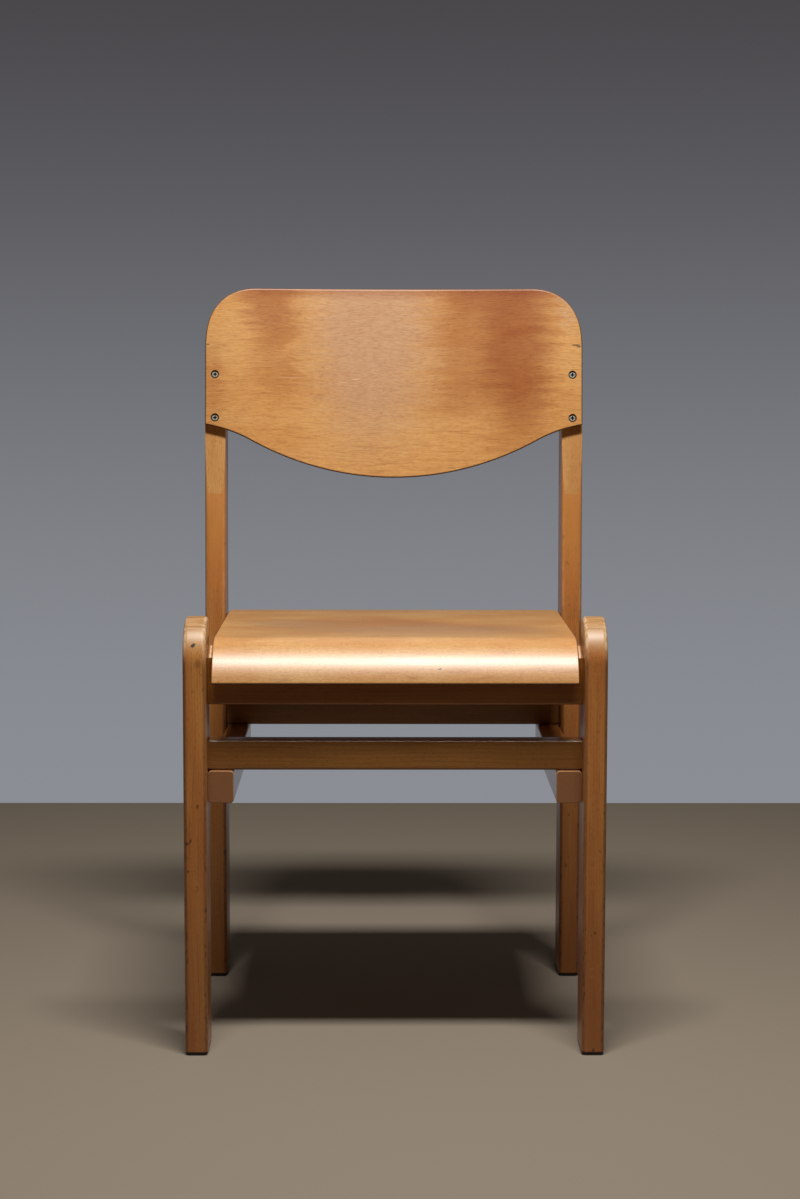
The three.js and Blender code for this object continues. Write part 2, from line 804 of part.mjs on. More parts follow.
function buildBackrest() {
  const group = new THREE.Group();
  group.applyMatrix4(backrestPlace);
  group.add(piece("backrest_panel", backPanel(), backVeneer, new THREE.Vector3()));
  const backScrew = screw(screwLength);
  for (const { name, x, up } of backScrewPlaces()) {
    const mesh = piece(name, backScrew, steel, new THREE.Vector3());
    mesh.position.set(x, sinkFloorY - turnedGap, up);
    group.add(mesh);
  }
  return group;
}

function buildGlides() {
  const group = new THREE.Group();
  for (const side of sides) {
    const x = side.sign * legMiddleX;
    const ends = [["front", 0], ["rear", rearLegSpacing]];
    for (const [end, frontY] of ends) {
      const origin = new THREE.Vector3(x, frontY + legDepth / 2, 0);
      group.add(piece("glide_" + end + "_" + side.name, glide(side, frontY), blackPlastic, origin));
    }
  }
  return group;
}

// The whole chair, with its origin on the floor under the middle of its bounding box.
const chair = new THREE.Group();
chair.add(buildFrame(), buildDowels(), buildSeat(), buildBackrest(), buildGlides());
const box = new THREE.Box3().setFromObject(chair, true);
chair.position.y = -(box.min.y + box.max.y) / 2;

export default chair;
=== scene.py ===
# %% [markdown]
# A choir chair. A frame of solid beech, lacquered amber brown, carries a moulded plywood seat
# whose front edge bends down over the rail, and a hollow plywood backrest that is screwed to the
# leaning tops of the rear legs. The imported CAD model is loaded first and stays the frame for
# everything: each new piece takes its place and its size from the CAD piece that it stands for.

import math

import bmesh
import bpy
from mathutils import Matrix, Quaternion, Vector


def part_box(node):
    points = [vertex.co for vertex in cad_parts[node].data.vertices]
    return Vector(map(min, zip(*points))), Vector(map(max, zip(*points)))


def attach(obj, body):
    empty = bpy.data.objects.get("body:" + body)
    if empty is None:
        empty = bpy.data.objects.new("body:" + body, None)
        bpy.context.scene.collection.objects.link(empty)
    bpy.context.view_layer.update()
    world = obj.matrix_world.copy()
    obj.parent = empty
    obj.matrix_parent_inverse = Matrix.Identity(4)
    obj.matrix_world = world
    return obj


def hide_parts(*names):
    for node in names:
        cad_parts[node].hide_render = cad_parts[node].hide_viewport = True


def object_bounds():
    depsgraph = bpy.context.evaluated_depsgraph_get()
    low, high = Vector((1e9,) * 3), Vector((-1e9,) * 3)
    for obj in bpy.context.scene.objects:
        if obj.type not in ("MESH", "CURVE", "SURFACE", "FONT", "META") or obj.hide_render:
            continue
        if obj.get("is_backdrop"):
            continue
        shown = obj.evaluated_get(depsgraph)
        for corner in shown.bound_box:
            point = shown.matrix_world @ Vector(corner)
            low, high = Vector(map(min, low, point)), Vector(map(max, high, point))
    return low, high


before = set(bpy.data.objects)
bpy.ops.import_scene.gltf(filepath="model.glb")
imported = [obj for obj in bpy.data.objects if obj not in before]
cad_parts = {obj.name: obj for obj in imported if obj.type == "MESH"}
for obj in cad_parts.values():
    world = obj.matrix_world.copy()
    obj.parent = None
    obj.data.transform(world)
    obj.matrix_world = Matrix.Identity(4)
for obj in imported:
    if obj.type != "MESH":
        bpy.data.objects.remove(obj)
cad_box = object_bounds()
MM = 0.001
SIDES = {"left": -1, "right": 1}
print("CAD box in mm:", [[round(v / MM, 1) for v in corner] for corner in cad_box])

# %% [markdown]
# Working by hand in edit mode means: pick some edges or faces, then use an operator on them. There
# is no mouse here, so the first helpers pick in code, by where things are and which way they face.
# Operators act on all that is selected, and so everything is deselected before a new primitive.


# %% Helpers to add and pick
def deselect_all():
    if bpy.context.object and bpy.context.object.mode == "EDIT":
        bpy.ops.object.mode_set(mode="OBJECT")
    bpy.ops.object.select_all(action="DESELECT")


def select_only(piece):
    deselect_all()
    bpy.context.view_layer.objects.active = piece
    piece.select_set(True)


def apply_place():
    """Writes the active object's place, turn and scale into its mesh."""
    bpy.ops.object.transform_apply(location=True, rotation=True, scale=True)


def block(name, low, high):
    """A box between two corners. Its place is in its mesh, and its object stays at the origin."""
    deselect_all()
    low, high = Vector(low), Vector(high)
    bpy.ops.mesh.primitive_cube_add(size=1, location=(low + high) / 2)
    piece = bpy.context.object
    piece.name = piece.data.name = name
    piece.scale = high - low
    apply_place()
    return piece


def pick(piece, kind, test):
    """Enters edit mode and selects only the verts, edges or faces that pass a test."""
    if piece.mode != "EDIT":
        bpy.context.view_layer.objects.active = piece
        bpy.ops.object.mode_set(mode="EDIT")
    mode = {"verts": "VERT", "edges": "EDGE", "faces": "FACE"}[kind]
    bpy.ops.mesh.select_mode(type=mode)
    bpy.ops.mesh.select_all(action="DESELECT")
    shape = bmesh.from_edit_mesh(piece.data)
    shape.normal_update()
    picked = [item for item in getattr(shape, kind) if test(item)]
    for item in picked:
        item.select_set(True)
    shape.select_flush_mode()
    bmesh.update_edit_mesh(piece.data)
    return len(picked)


def everything(item):
    return True


def lies(value, target, slack=0.05 * MM):
    return abs(value - target) < slack


def all_lie(edge, axis, target):
    return all(lies(v.co[axis], target) for v in edge.verts)


# %% [markdown]
# A woodworker rounds an edge with a router, saws off what is too much and drills holes. In Blender
# these are a bevel of the picked edges, a bisect and a boolean with a tool. An arris is the sharp
# edge between a broad face and a narrow one, the place that hands and shoes meet first.

# %% Helpers to round, cut and finish
SMOOTH_BELOW = math.radians(35)


def round_edges(piece, test, radius, steps):
    """Rounds the edges that pass a test over, as a router bit does."""
    if pick(piece, "edges", test):
        bpy.ops.mesh.bevel(offset=radius, segments=steps, affect="EDGES")


def is_arris(axis):
    """True for an edge between a face square to an axis and a face along it."""

    def test(edge):
        across = [abs(face.normal[axis]) for face in edge.link_faces]
        return len(across) == 2 and max(across) > 0.95 and min(across) < 0.3

    return test


def apply_modifiers(piece):
    select_only(piece)
    for modifier in list(piece.modifiers):
        bpy.ops.object.modifier_apply(modifier=modifier.name)


def cut_with(piece, tool):
    """Takes a tool's shape out of a piece, then throws the tool away."""
    cut = piece.modifiers.new("cut", "BOOLEAN")
    cut.operation = "DIFFERENCE"
    cut.solver = "EXACT"
    cut.object = tool
    apply_modifiers(piece)
    bpy.data.objects.remove(tool)


def give_second_material(piece, first, second):
    """Gives the picked faces the second of two materials, and all others keep the first."""
    piece.data.materials.append(first)
    piece.data.materials.append(second)
    piece.active_material_index = 1
    bpy.ops.object.material_slot_assign()


def finish(piece, node, slot, *materials):
    """Shades a piece, gives it its materials and lets it stand for its CAD node."""
    select_only(piece)
    given = [face.material_index for face in piece.data.polygons]
    bpy.ops.object.shade_smooth_by_angle(angle=SMOOTH_BELOW)
    # Wide flat faces hold their own normals, so that only the rounded edges look round.
    weighted = piece.modifiers.new("weighted normals", "WEIGHTED_NORMAL")
    weighted.keep_sharp = True
    apply_modifiers(piece)
    piece.data.materials.clear()
    for material in materials:
        piece.data.materials.append(material)
    piece.data.polygons.foreach_set("material_index", given)
    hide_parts(node)
    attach(piece, "root")
    print(f"{piece.name}: {len(piece.data.polygons)} faces for {node}")


# %% [markdown]
# Colours are written as the eye meets them on a screen, in sRGB hex. Cycles reckons in linear
# light, so one function turns a hex value over. A second one adds a shader node with its settings
# and links, which keeps each material short enough to read as a recipe.


# %% Helpers for nodes
def linear(colour):
    """An sRGB hex colour as the linear RGBA that a shader socket takes."""
    channels = [int(colour[i : i + 2], 16) / 255 for i in (1, 3, 5)]
    return [c / 12.92 if c <= 0.04045 else ((c + 0.055) / 1.055) ** 2.4 for c in channels] + [1.0]


def add(tree, kind, inputs, **settings):
    """Adds a node. Each input is a plain value or another node's output socket."""
    made = tree.nodes.new("ShaderNode" + kind)
    for name, value in settings.items():
        setattr(made, name, value)
    for name, value in inputs.items():
        if isinstance(value, bpy.types.NodeSocket):
            tree.links.new(value, made.inputs[name])
        else:
            made.inputs[name].default_value = value
    return made


def new_material(name):
    """An empty material: its node tree, and its Principled shader."""
    material = bpy.data.materials.new(name)
    material.use_nodes = True
    return material, material.node_tree, material.node_tree.nodes["Principled BSDF"]


# %% [markdown]
# All patterns on the chair are built from the same few parts: a noise drawn out along the grain, a
# range of it spread to a share, and two colours mixed by that share. Marks that sit at one place,
# such as a cloud, a scratch or a nick, are soft ovals.


# %% Helpers for patterns
def stretched_noise(tree, place, across_mm, along_mm, detail=2.0):
    """Noise drawn out along the grain, which is the third coordinate. Sizes are of one blotch."""
    across, along = 1 / (across_mm * MM), 1 / (along_mm * MM)
    scaled = add(tree, "VectorMath", {0: place, 1: (across, across, along)}, operation="MULTIPLY")
    noise = add(tree, "TexNoise", {"Vector": scaled.outputs[0], "Scale": 1.0, "Detail": detail})
    return noise.outputs[0]


def between(tree, value, low, high, to_low=0.0, to_high=1.0):
    """Spreads a value from one range to another, smoothly, and holds it there."""
    inputs = {"Value": value, 1: low, 2: high, 3: to_low, 4: to_high}
    return add(tree, "MapRange", inputs, interpolation_type="SMOOTHSTEP").outputs[0]


def blend(tree, share, below, above, mode="MIX"):
    """Mixes two colours by a share, which is a number or another node's output."""
    mixed = add(tree, "Mix", {0: share}, data_type="RGBA", blend_type=mode)
    for socket, colour in ((6, below), (7, above)):
        if isinstance(colour, bpy.types.NodeSocket):
            tree.links.new(colour, mixed.inputs[socket])
        else:
            mixed.inputs[socket].default_value = linear(colour)
    return mixed.outputs[2]


def times(tree, first, second):
    return add(tree, "Math", {0: first, 1: second}, operation="MULTIPLY").outputs[0]


def ovals(tree, colour, place, tint, spots, core=0.3):
    """Blends soft ovals of a tint into a colour. Each has a centre and half sizes in mm, and stays
    at full strength out to its core."""
    for centre, half, strength in spots:
        away = [-c * MM for c in centre]
        moved = add(tree, "VectorMath", {0: place, 1: away}, operation="ADD").outputs[0]
        inverse = [1 / (h * MM) for h in half]
        scaled = add(tree, "VectorMath", {0: moved, 1: inverse}, operation="MULTIPLY").outputs[0]
        reach = add(tree, "VectorMath", {0: scaled}, operation="LENGTH").outputs["Value"]
        colour = blend(tree, between(tree, reach, core, 1.0, strength, 0.0), colour, tint)
    return colour


def wandering(tree, place, waves_per_metre, reach):
    """The same place, pushed about a little, as fibres wander in a plank."""
    noise = add(tree, "TexNoise", {"Vector": place, "Scale": waves_per_metre, "Detail": 1.0})
    noise = noise.outputs[1]
    shift = add(tree, "VectorMath", {0: noise, 1: (-0.5, -0.5, -0.5)}, operation="ADD").outputs[0]
    shift = add(tree, "VectorMath", {0: shift, 1: (reach, reach, 0)}, operation="MULTIPLY")
    return add(tree, "VectorMath", {0: place, 1: shift.outputs[0]}, operation="ADD").outputs[0]


# %% [markdown]
# The chair is finished with clear satin lacquer, brushed or sprayed on and worn since. To the eye
# that is two layers: a thin smooth film that mirrors the lamp softly, and below it the stained
# wood, whose wetted fibres hardly shine. The shader's coat is the film. Pores and rings sink the
# lacquer by some hundredths of a millimetre, which the bump shows.


# %% Lacquer
def lacquer(tree, shader, colour, height, rough, coat_rough, body_shine=0.1):
    """Wood under a clear film. Lacquers have an IOR near 1.5."""
    tree.links.new(colour, shader.inputs["Base Color"])
    tree.links.new(rough, shader.inputs["Roughness"])
    bump = add(tree, "Bump", {"Height": height, "Strength": 0.3, "Distance": 0.03 * MM})
    tree.links.new(bump.outputs[0], shader.inputs["Normal"])
    shader.inputs["Specular IOR Level"].default_value = body_shine
    shader.inputs["Coat Weight"].default_value = 1.0
    shader.inputs["Coat IOR"].default_value = 1.5
    shader.inputs["Coat Roughness"].default_value = coat_rough


# %% [markdown]
# Beech is a pale, even wood. Its year rings are thin brown lines 2 to 3 mm apart, and its rays
# show as short dark dashes, the flecks that tell beech from birch. Under amber lacquer and years
# of use it turns a warm brown. The rings are a solid pattern around a pith that lies off to one
# side, so the same material gives stripes on a long face, arcs on a sawn end and thin lines over
# the round top of a leg.

# %% Year rings and sawn ends
RING_MM = 2.6
WAVE_MM = 314  # a wave texture of scale 1 repeats after this length
PIXEL_FLECK_MM = 0.8  # real flecks are 0.3 mm wide, too fine for a picture of the whole chair


def year_rings(tree, place, grain, pith_mm):
    """Thin lines round a pith. The upright boards on both sides have it on their own side."""
    parts = add(tree, "SeparateXYZ", {0: place})
    aside = add(tree, "Math", {0: parts.outputs["X"]}, operation="ABSOLUTE").outputs[0]
    mirrored = {0: aside if grain == "Z" else parts.outputs["X"], 1: parts.outputs["Y"]}
    mirrored = add(tree, "CombineXYZ", mirrored).outputs[0]
    pith = [-p * MM for p in pith_mm]
    from_pith = add(tree, "VectorMath", {0: mirrored, 1: (*pith, 0)}, operation="ADD").outputs[0]
    inputs = {"Vector": from_pith, "Scale": WAVE_MM / RING_MM, "Distortion": 0.4, "Detail": 1.0}
    settings = {"wave_type": "RINGS", "rings_direction": "Z", "wave_profile": "SAW"}
    return between(tree, add(tree, "TexWave", inputs, **settings).outputs[1], 0.7, 0.98)


def sawn_ends(tree, colour, place, facing):
    """Sawn ends drink the lacquer and turn dull, with speckled pores. The bevel round them is
    made pale, a painted highlight."""
    endness = add(tree, "Math", {0: facing}, operation="ABSOLUTE").outputs[0]
    # Painted highlight: the bevel round a sawn end is blended pale.
    bevel = times(tree, between(tree, endness, 0.2, 0.4), 0.85)
    colour = blend(tree, bevel, colour, "#E6B88E")
    sawn = between(tree, endness, 0.92, 0.98)
    colour = blend(tree, sawn, colour, "#A6764E")
    pores = between(tree, stretched_noise(tree, place, 1.1, 1.1, detail=1.0), 0.35, 0.65, 0.5, 0.8)
    return blend(tree, times(tree, sawn, pores), colour, "#80502F")


# %% [markdown]
# One function makes the material of every board. A grain axis says which way the piece was cut
# from the plank, and the place is turned so that the grain is always its third coordinate.


# %% Solid beech
def solid_beech(name, grain, pith_mm, colours, coat_rough, worn=False):
    material, tree, shader = new_material(name)
    base, pale, dark = colours
    coordinates = add(tree, "TexCoord", {}).outputs
    axes = add(tree, "SeparateXYZ", {0: coordinates["Object"]}).outputs
    order = {"X": "YZX", "Y": "ZXY", "Z": "XYZ"}[grain]
    place = add(tree, "CombineXYZ", {i: axes[letter] for i, letter in enumerate(order)}).outputs[0]
    bent = wandering(tree, place, 6.0, 0.006)

    ring = year_rings(tree, bent, grain, pith_mm)
    cloud = stretched_noise(tree, bent, 26, 210)
    streak = stretched_noise(tree, bent, 1.5, 90)
    fleck = stretched_noise(tree, bent, PIXEL_FLECK_MM, 4.5, detail=0.0)
    fleck = between(tree, fleck, 0.6, 0.74)

    colour = blend(tree, between(tree, cloud, 0.35, 0.68), base, pale)
    colour = blend(tree, between(tree, streak, 0.48, 0.8, 0.0, 0.35), colour, dark)
    colour = blend(tree, times(tree, ring, 0.22), colour, dark)
    colour = blend(tree, times(tree, fleck, 0.3), colour, dark)
    if worn:
        colour = use_marks_and_painted_light(tree, colour, coordinates["Object"], axes, pale)
    if grain != "Z":
        facing = add(tree, "SeparateXYZ", {0: coordinates["Normal"]}).outputs[grain]
        colour = sawn_ends(tree, colour, place, facing)

    height = add(tree, "Math", {0: streak, 1: fleck}, operation="SUBTRACT").outputs[0]
    rough = between(tree, cloud, 0.3, 0.7, 0.42, 0.52)
    lacquer(tree, shader, colour, height, rough, coat_rough)
    return material


# %% [markdown]
# The legs carry the years. Hands and trouser legs have rubbed the edges of the crowns pale, and the
# paler crowns and arrises near the top also paint the highlight that the lamp puts there, with a
# painted shade on the arrises just below. The wood is darker towards the floor, shoes and brooms
# have dented it, and one deep nick sits on the front of the left crown. Every mark is tied to its
# place on the chair. The crowns reach no higher than 478 mm, and the posts behind them are 330 mm
# further back, so height and depth tell them apart.


# %% Wear and painted light on the crowns
def by_height(tree, axes, low_mm, high_mm, to_low, to_high):
    """A share that changes between two heights above the floor."""
    return between(tree, axes["Z"], low_mm * MM, high_mm * MM, to_low, to_high)


def arris_share(tree):
    """A rounded edge is where the surface looks neither straight ahead nor straight aside."""
    facing = add(tree, "TexCoord", {}).outputs["Normal"]
    aside = add(tree, "SeparateXYZ", {0: facing}).outputs["X"]
    aside = add(tree, "Math", {0: aside}, operation="ABSOLUTE").outputs[0]
    return times(tree, between(tree, aside, 0.15, 0.45), between(tree, aside, 0.8, 0.98, 1.0, 0.0))


def crown_wear_and_painted_light(tree, colour, place, axes, arris):
    in_front = between(tree, axes["Y"], -120 * MM, -100 * MM, 1.0, 0.0)
    patchy = between(tree, stretched_noise(tree, place, 5, 16, detail=2.0), 0.38, 0.62, 0.3, 1.0)
    # Painted shade: a darker band on the arrises just below the crown.
    arris_painted_shade = times(tree, arris, by_height(tree, axes, 425, 455, 0.5, 0.0))
    colour = blend(tree, arris_painted_shade, colour, "#52301A")
    # The paler crown: wear, and a painted highlight where the lamp meets the round top.
    crown = times(tree, by_height(tree, axes, 436, 466, 0.0, 0.6), in_front)
    colour = blend(tree, crown, colour, "#CBA876")
    # Paler arrises near the crown: rubbed by hands, and partly a painted highlight.
    rubbed = times(tree, arris, patchy)
    rubbed = times(tree, rubbed, by_height(tree, axes, 425, 465, 0.05, 0.9))
    rubbed = times(tree, rubbed, between(tree, in_front, 0.0, 1.0, 0.25, 1.0))
    colour = blend(tree, rubbed, colour, "#EBC79C")
    # On the crown the growth rings come out as thin dark lines from side to side.
    over = add(tree, "CombineXYZ", {0: axes["Y"], 1: axes["Z"], 2: axes["X"]}).outputs[0]
    line = between(tree, stretched_noise(tree, over, 1.5, 40, detail=1.0), 0.52, 0.6, 0.0, 0.7)
    top = times(tree, by_height(tree, axes, 460, 470, 0.0, 1.0), in_front)
    return blend(tree, times(tree, line, top), colour, "#96602C")


# %% [markdown]
# Below the crowns the order is: first the posts are made paler and the wood darker towards the
# floor, then it is dented, chipped and scuffed. The nick shows bare, dark fibres in two overlapping
# cuts, with an old stain below it.

# %% Wear, and darker wood further down
NICK = [((-218, -198, 450.2), (3.2, 9, 2.6), 1.0), ((-216.6, -198, 451.8), (2.6, 9, 2.2), 1.0)]
STAIN = [((-212, -202, 431), (5, 9, 8), 0.4)]


def use_marks_and_painted_light(tree, colour, place, axes, pale):
    """Crowns, then the paler posts, the wood darker towards the feet, and dents, chips, scuffs and a
    nick.
    """
    arris = arris_share(tree)
    colour = crown_wear_and_painted_light(tree, colour, place, axes, arris)
    behind = between(tree, axes["Y"], -100 * MM, -80 * MM)
    post = times(tree, by_height(tree, axes, 430, 560, 0.0, 0.6), behind)
    colour = blend(tree, post, colour, pale)
    # The wood is made darker towards the floor.
    colour = blend(tree, by_height(tree, axes, 10, 420, 0.5, 0.0), colour, "#6E340C")

    dents = between(tree, stretched_noise(tree, place, 7, 11, detail=1.0), 0.7, 0.76, 0.0, 0.75)
    dents = times(tree, dents, by_height(tree, axes, 200, 430, 1.0, 0.4))
    colour = blend(tree, dents, colour, "#4A2810")
    chips = between(tree, stretched_noise(tree, place, 3, 8, detail=2.0), 0.56, 0.64, 0.0, 0.8)
    chips = times(tree, chips, by_height(tree, axes, 60, 420, 0.9, 0.1))
    colour = blend(tree, times(tree, chips, arris), colour, "#2C170B")
    scuffs = between(tree, stretched_noise(tree, place, 16, 2.2, detail=1.0), 0.69, 0.78, 0.0, 0.35)
    colour = blend(tree, scuffs, colour, pale)
    colour = ovals(tree, colour, place, "#5A3418", STAIN)
    return ovals(tree, colour, place, "#1C0E06", NICK)


# %% [markdown]
# Each board gets three tones: its base, the pale wood of its clouds, and the dark of its rings and
# flecks. The number after them is how rough the film is. The legs and the milled flats are handled
# most, so their film is the dullest. The rails and stretchers are hardly touched, so they shine
# more, and their tones are darker copies of the same beech that paint the shade they stand in; the
# side rails' copy is less dark, a painted bounce from the floor. The dowels are raw, without
# lacquer's amber, and the planed corners of the front rail beside the seat get a pale beech that
# paints the lamp's highlight on them.

# %% Beech on the chair
AMBER = ("#BA7236", "#CA8843", "#6A3410")
FRESH_CUT = ("#C4894A", "#D29C5A", "#8E5426")
# Painted shade: the rails' and stretchers' tones are darker copies of the beech.
SHADED_RAIL = ("#96591E", "#A46828", "#54290B")
SHADED_SIDE_RAIL = ("#A4662C", "#B27638", "#5C3212")
SHADED_STRETCHER = ("#80501E", "#8E5D28", "#48260B")
RAW = ("#D2B48A", "#DCC39C", "#A98559")
# Painted highlight: the pale beech of the front rail's planed corners beside the seat.
RAIL_CORNER_HIGHLIGHT = ("#DDB48C", "#E8C8A4", "#B07C50")

leg_beech = solid_beech("lacquered_beech_legs", "Z", (640, 60), AMBER, 0.4, worn=True)
milled_beech = solid_beech("lacquered_beech_milled", "Z", (640, 60), FRESH_CUT, 0.45)
cross_beech = solid_beech("lacquered_beech_cross_rails", "X", (150, 120), SHADED_RAIL, 0.2)
stretcher_beech = solid_beech("lacquered_beech_stretchers", "X", (90, 170), SHADED_STRETCHER, 0.2)
side_beech = solid_beech("lacquered_beech_side_rails", "Y", (250, 60), SHADED_SIDE_RAIL, 0.2)
dowel_beech = solid_beech("raw_beech_dowels", "X", (40, 40), RAW, 0.6)
rail_corner_highlight_beech = solid_beech("beech_rail_corner_painted_highlight", "X", (150, 120), RAIL_CORNER_HIGHLIGHT, 0.5)
print("beech:", [m.name for m in bpy.data.materials if "beech" in m.name])

# %% [markdown]
# The panels are beech plywood. Their pattern has to follow the sheet round its bends, so it
# doesn't read the place in space: each panel carries an attribute with every point's place on the
# sheet before it was pressed, as across, along the grain, and depth below the face. On both panels
# the grain runs from side to side.


# %% Place on the sheet
def sheet_place(tree):
    """Where a point was on the flat sheet: across the grain, deep, and along the grain."""
    attribute = add(tree, "Attribute", {}, attribute_name="sheet_place")
    parts = add(tree, "SeparateXYZ", {0: attribute.outputs["Vector"]}).outputs
    place = add(tree, "CombineXYZ", {0: parts["Y"], 1: parts["Z"], 2: parts["X"]})
    return place.outputs[0], parts


def on_sheet(*rows):
    """Ovals in the sheet's face, each given as across, along, half sizes and strength."""
    return [((a, 0, b), (half_a, 6, half_b), strength) for a, b, half_a, half_b, strength in rows]


def frayed(tree, place):
    """The same place, pushed across the grain by broad waves and along it by streaks."""
    wave, streak = stretched_noise(tree, place, 70, 160), stretched_noise(tree, place, 8, 100)
    waved = between(tree, wave, 0.3, 0.7, -9 * MM, 9 * MM)
    push = {0: waved, 2: between(tree, streak, 0.3, 0.7, -8 * MM, 8 * MM)}
    push = add(tree, "CombineXYZ", push).outputs[0]
    return add(tree, "VectorMath", {0: place, 1: push}, operation="ADD").outputs[0]


# %% [markdown]
# The face veneer is cut so that its flecks lie flat along it, as thousands of short strokes from
# side to side, and its colour drifts from honey to red brown in broad clouds. The recipe goes in
# that order: clouds and pale lobes, then figure and streaks, a pale painted sheen that stands for
# the lamp's broad reflection in the lacquer, the flecks, and last the pale lines, scratches and
# marks. The flecks are drawn about twice as coarse as real ones, which a picture of the whole chair
# would lose.


# %% Beech veneer
def beech_veneer(name, tones, fleck_mm, clouds, lobes, painted_sheen, marks, pale_lines, coat_rough, shine):
    material, tree, shader = new_material(name)
    base, pale, amber, dark, sheen_tone = tones
    place, parts = sheet_place(tree)
    bent = wandering(tree, place, 9.0, 0.01)
    loose = frayed(tree, place)

    cloud = stretched_noise(tree, bent, 50, 130)
    figure = stretched_noise(tree, bent, 5, 45)
    streak = between(tree, stretched_noise(tree, bent, 1.8, 48, detail=1.0), 0.56, 0.76, 0.0, 0.32)
    fleck = between(tree, stretched_noise(tree, bent, *fleck_mm, detail=1.0), 0.5, 0.7)
    grain = stretched_noise(tree, bent, 0.8 * fleck_mm[0], 2.5 * fleck_mm[1], detail=3.0)

    colour = blend(tree, between(tree, cloud, 0.4, 0.66, 0.0, 0.8), base, pale)
    colour = ovals(tree, colour, loose, amber, on_sheet(*clouds))
    colour = ovals(tree, colour, loose, pale, on_sheet(*lobes), core=0.7)
    colour = blend(tree, between(tree, figure, 0.5, 0.8, 0.0, 0.22), colour, amber)
    colour = blend(tree, streak, colour, amber)
    # Painted sheen: pale ovals where the lamp's broad reflection lies on the lacquer.
    colour = ovals(tree, colour, loose, sheen_tone, on_sheet(*painted_sheen))
    colour = blend(tree, between(tree, grain, 0.35, 0.65, 0.3, 0.0), colour, dark, "MULTIPLY")
    colour = blend(tree, times(tree, fleck, 0.35), colour, dark, "MULTIPLY")
    # The last centimetre below the backrest's top is made darker.
    rim = between(tree, parts["Y"], 234 * MM, 247 * MM, 0.0, 0.4)
    colour = blend(tree, rim, colour, dark, "MULTIPLY")
    colour = ovals(tree, colour, place, "#EBC79A", on_sheet(*pale_lines))
    colour = ovals(tree, colour, place, "#2E1A0E", on_sheet(*marks))

    height = add(tree, "Math", {0: grain, 1: fleck}, operation="SUBTRACT").outputs[0]
    rough = between(tree, cloud, 0.3, 0.7, 0.44, 0.5)
    lacquer(tree, shader, colour, height, rough, coat_rough, shine)
    return material


# %% [markdown]
# Seen on edge, plywood shows its layers. The veneers lie crosswise by turns: pale long grain, then
# end grain, which drinks the stain and is dark. Where the eased edge meets the face it is darkened
# by a painted shade, except along the top of the backrest, which the lamp lights.


# %% Plywood edge
def plywood_edge(name, layer_mm, long_grain, end_grain):
    material, tree, shader = new_material(name)
    place, parts = sheet_place(tree)
    turn = times(tree, parts["Z"], 1 / (2 * layer_mm * MM))
    turn = add(tree, "Math", {0: turn}, operation="FRACT").outputs[0]
    crossed = between(tree, turn, 0.46, 0.54)
    speckle = between(tree, stretched_noise(tree, place, 0.7, 0.7, detail=1.0), 0.35, 0.7)
    light, dark = blend(tree, speckle, *long_grain), blend(tree, speckle, *end_grain)
    colour = blend(tree, crossed, light, dark)
    # Painted shade along the eased edge next to the face, left off the top of the backrest.
    edge_painted_shade = between(tree, parts["Z"], 1.8 * MM, 4.5 * MM, 0.85, 0.0)
    edge_painted_shade = times(tree, edge_painted_shade, between(tree, parts["Y"], 185 * MM, 215 * MM, 1.0, 0.0))
    colour = blend(tree, edge_painted_shade, colour, "#35200F")
    lacquer(tree, shader, colour, crossed, between(tree, speckle, 0.0, 1.0, 0.5, 0.6), 0.4)
    return material


# %% [markdown]
# The backrest's veneer is honey in the middle and red brown towards the sides, and paler again
# along its lower half. Each oval is a row of millimetres on the sheet: up from the start of the
# flat that it is screwed to, aside from the middle, half its height and half its width, and its
# strength.

# %% Backrest veneer
back_veneer = beech_veneer(
    "lacquered_beech_veneer_backrest",
    tones=("#DCA158", "#E5AF67", "#A4581A", "#BE7638", "#D0A884"),
    fleck_mm=(0.6, 6.5),
    clouds=[
        (185, 150, 130, 60, 0.75),
        (190, 100, 140, 75, 0.5),
        (252, 140, 45, 110, 0.5),
        (196, 150, 14, 38, 0.45),
        (140, 160, 26, 34, 0.22),
        (110, 160, 45, 45, 0.45),
        (110, 62, 55, 45, 0.2),
        (248, -150, 90, 48, 0.6),
        (170, -140, 70, 50, 0.35),
        (70, 150, 40, 60, 0.25),
        (120, -222, 100, 22, 0.3),
    ],
    lobes=[
        (172, -98, 26, 34, 0.5),
        (225, -85, 45, 22, 0.35),
        (60, 0, 60, 130, 0.6),
        (180, 222, 80, 22, 0.5),
    ],
    # The sheen ovals are painted reflection: one across the top middle, one where the right flat
    # begins.
    painted_sheen=[(215, -28, 215, 104, 0.72), (226, 212, 50, 20, 0.4)],
    marks=[
        (180, 221, 1.2, 8, 0.95),
        (178, 224, 1.5, 4, 0.8),
        (180, -225, 1.6, 3, 0.6),
        (32, 70, 1.5, 9, 0.3),
    ],
    pale_lines=[(141, -126, 0.8, 26, 0.4), (140, -47, 0.9, 7, 0.8), (136, -62, 0.7, 9, 0.5)],
    coat_rough=0.4,
    shine=0.3,
)
# Nine millimetres in seven layers.
back_edge = plywood_edge(
    "beech_plywood_edge_backrest", 9 / 7, ("#8A5629", "#9C6736"), ("#502A12", "#653A1B")
)
print("backrest:", back_veneer.name, back_edge.name)

# %% [markdown]
# The seat's veneer has shorter flecks. A grey painted sheen lies in the middle of its lacquer, the
# cloud in the middle is partly a painted darker reflection, one long pale line runs along the start
# of the lip's bend, and a few dark chips sit on the lip. Its ovals are counted from the chair's
# middle, negative towards the front.

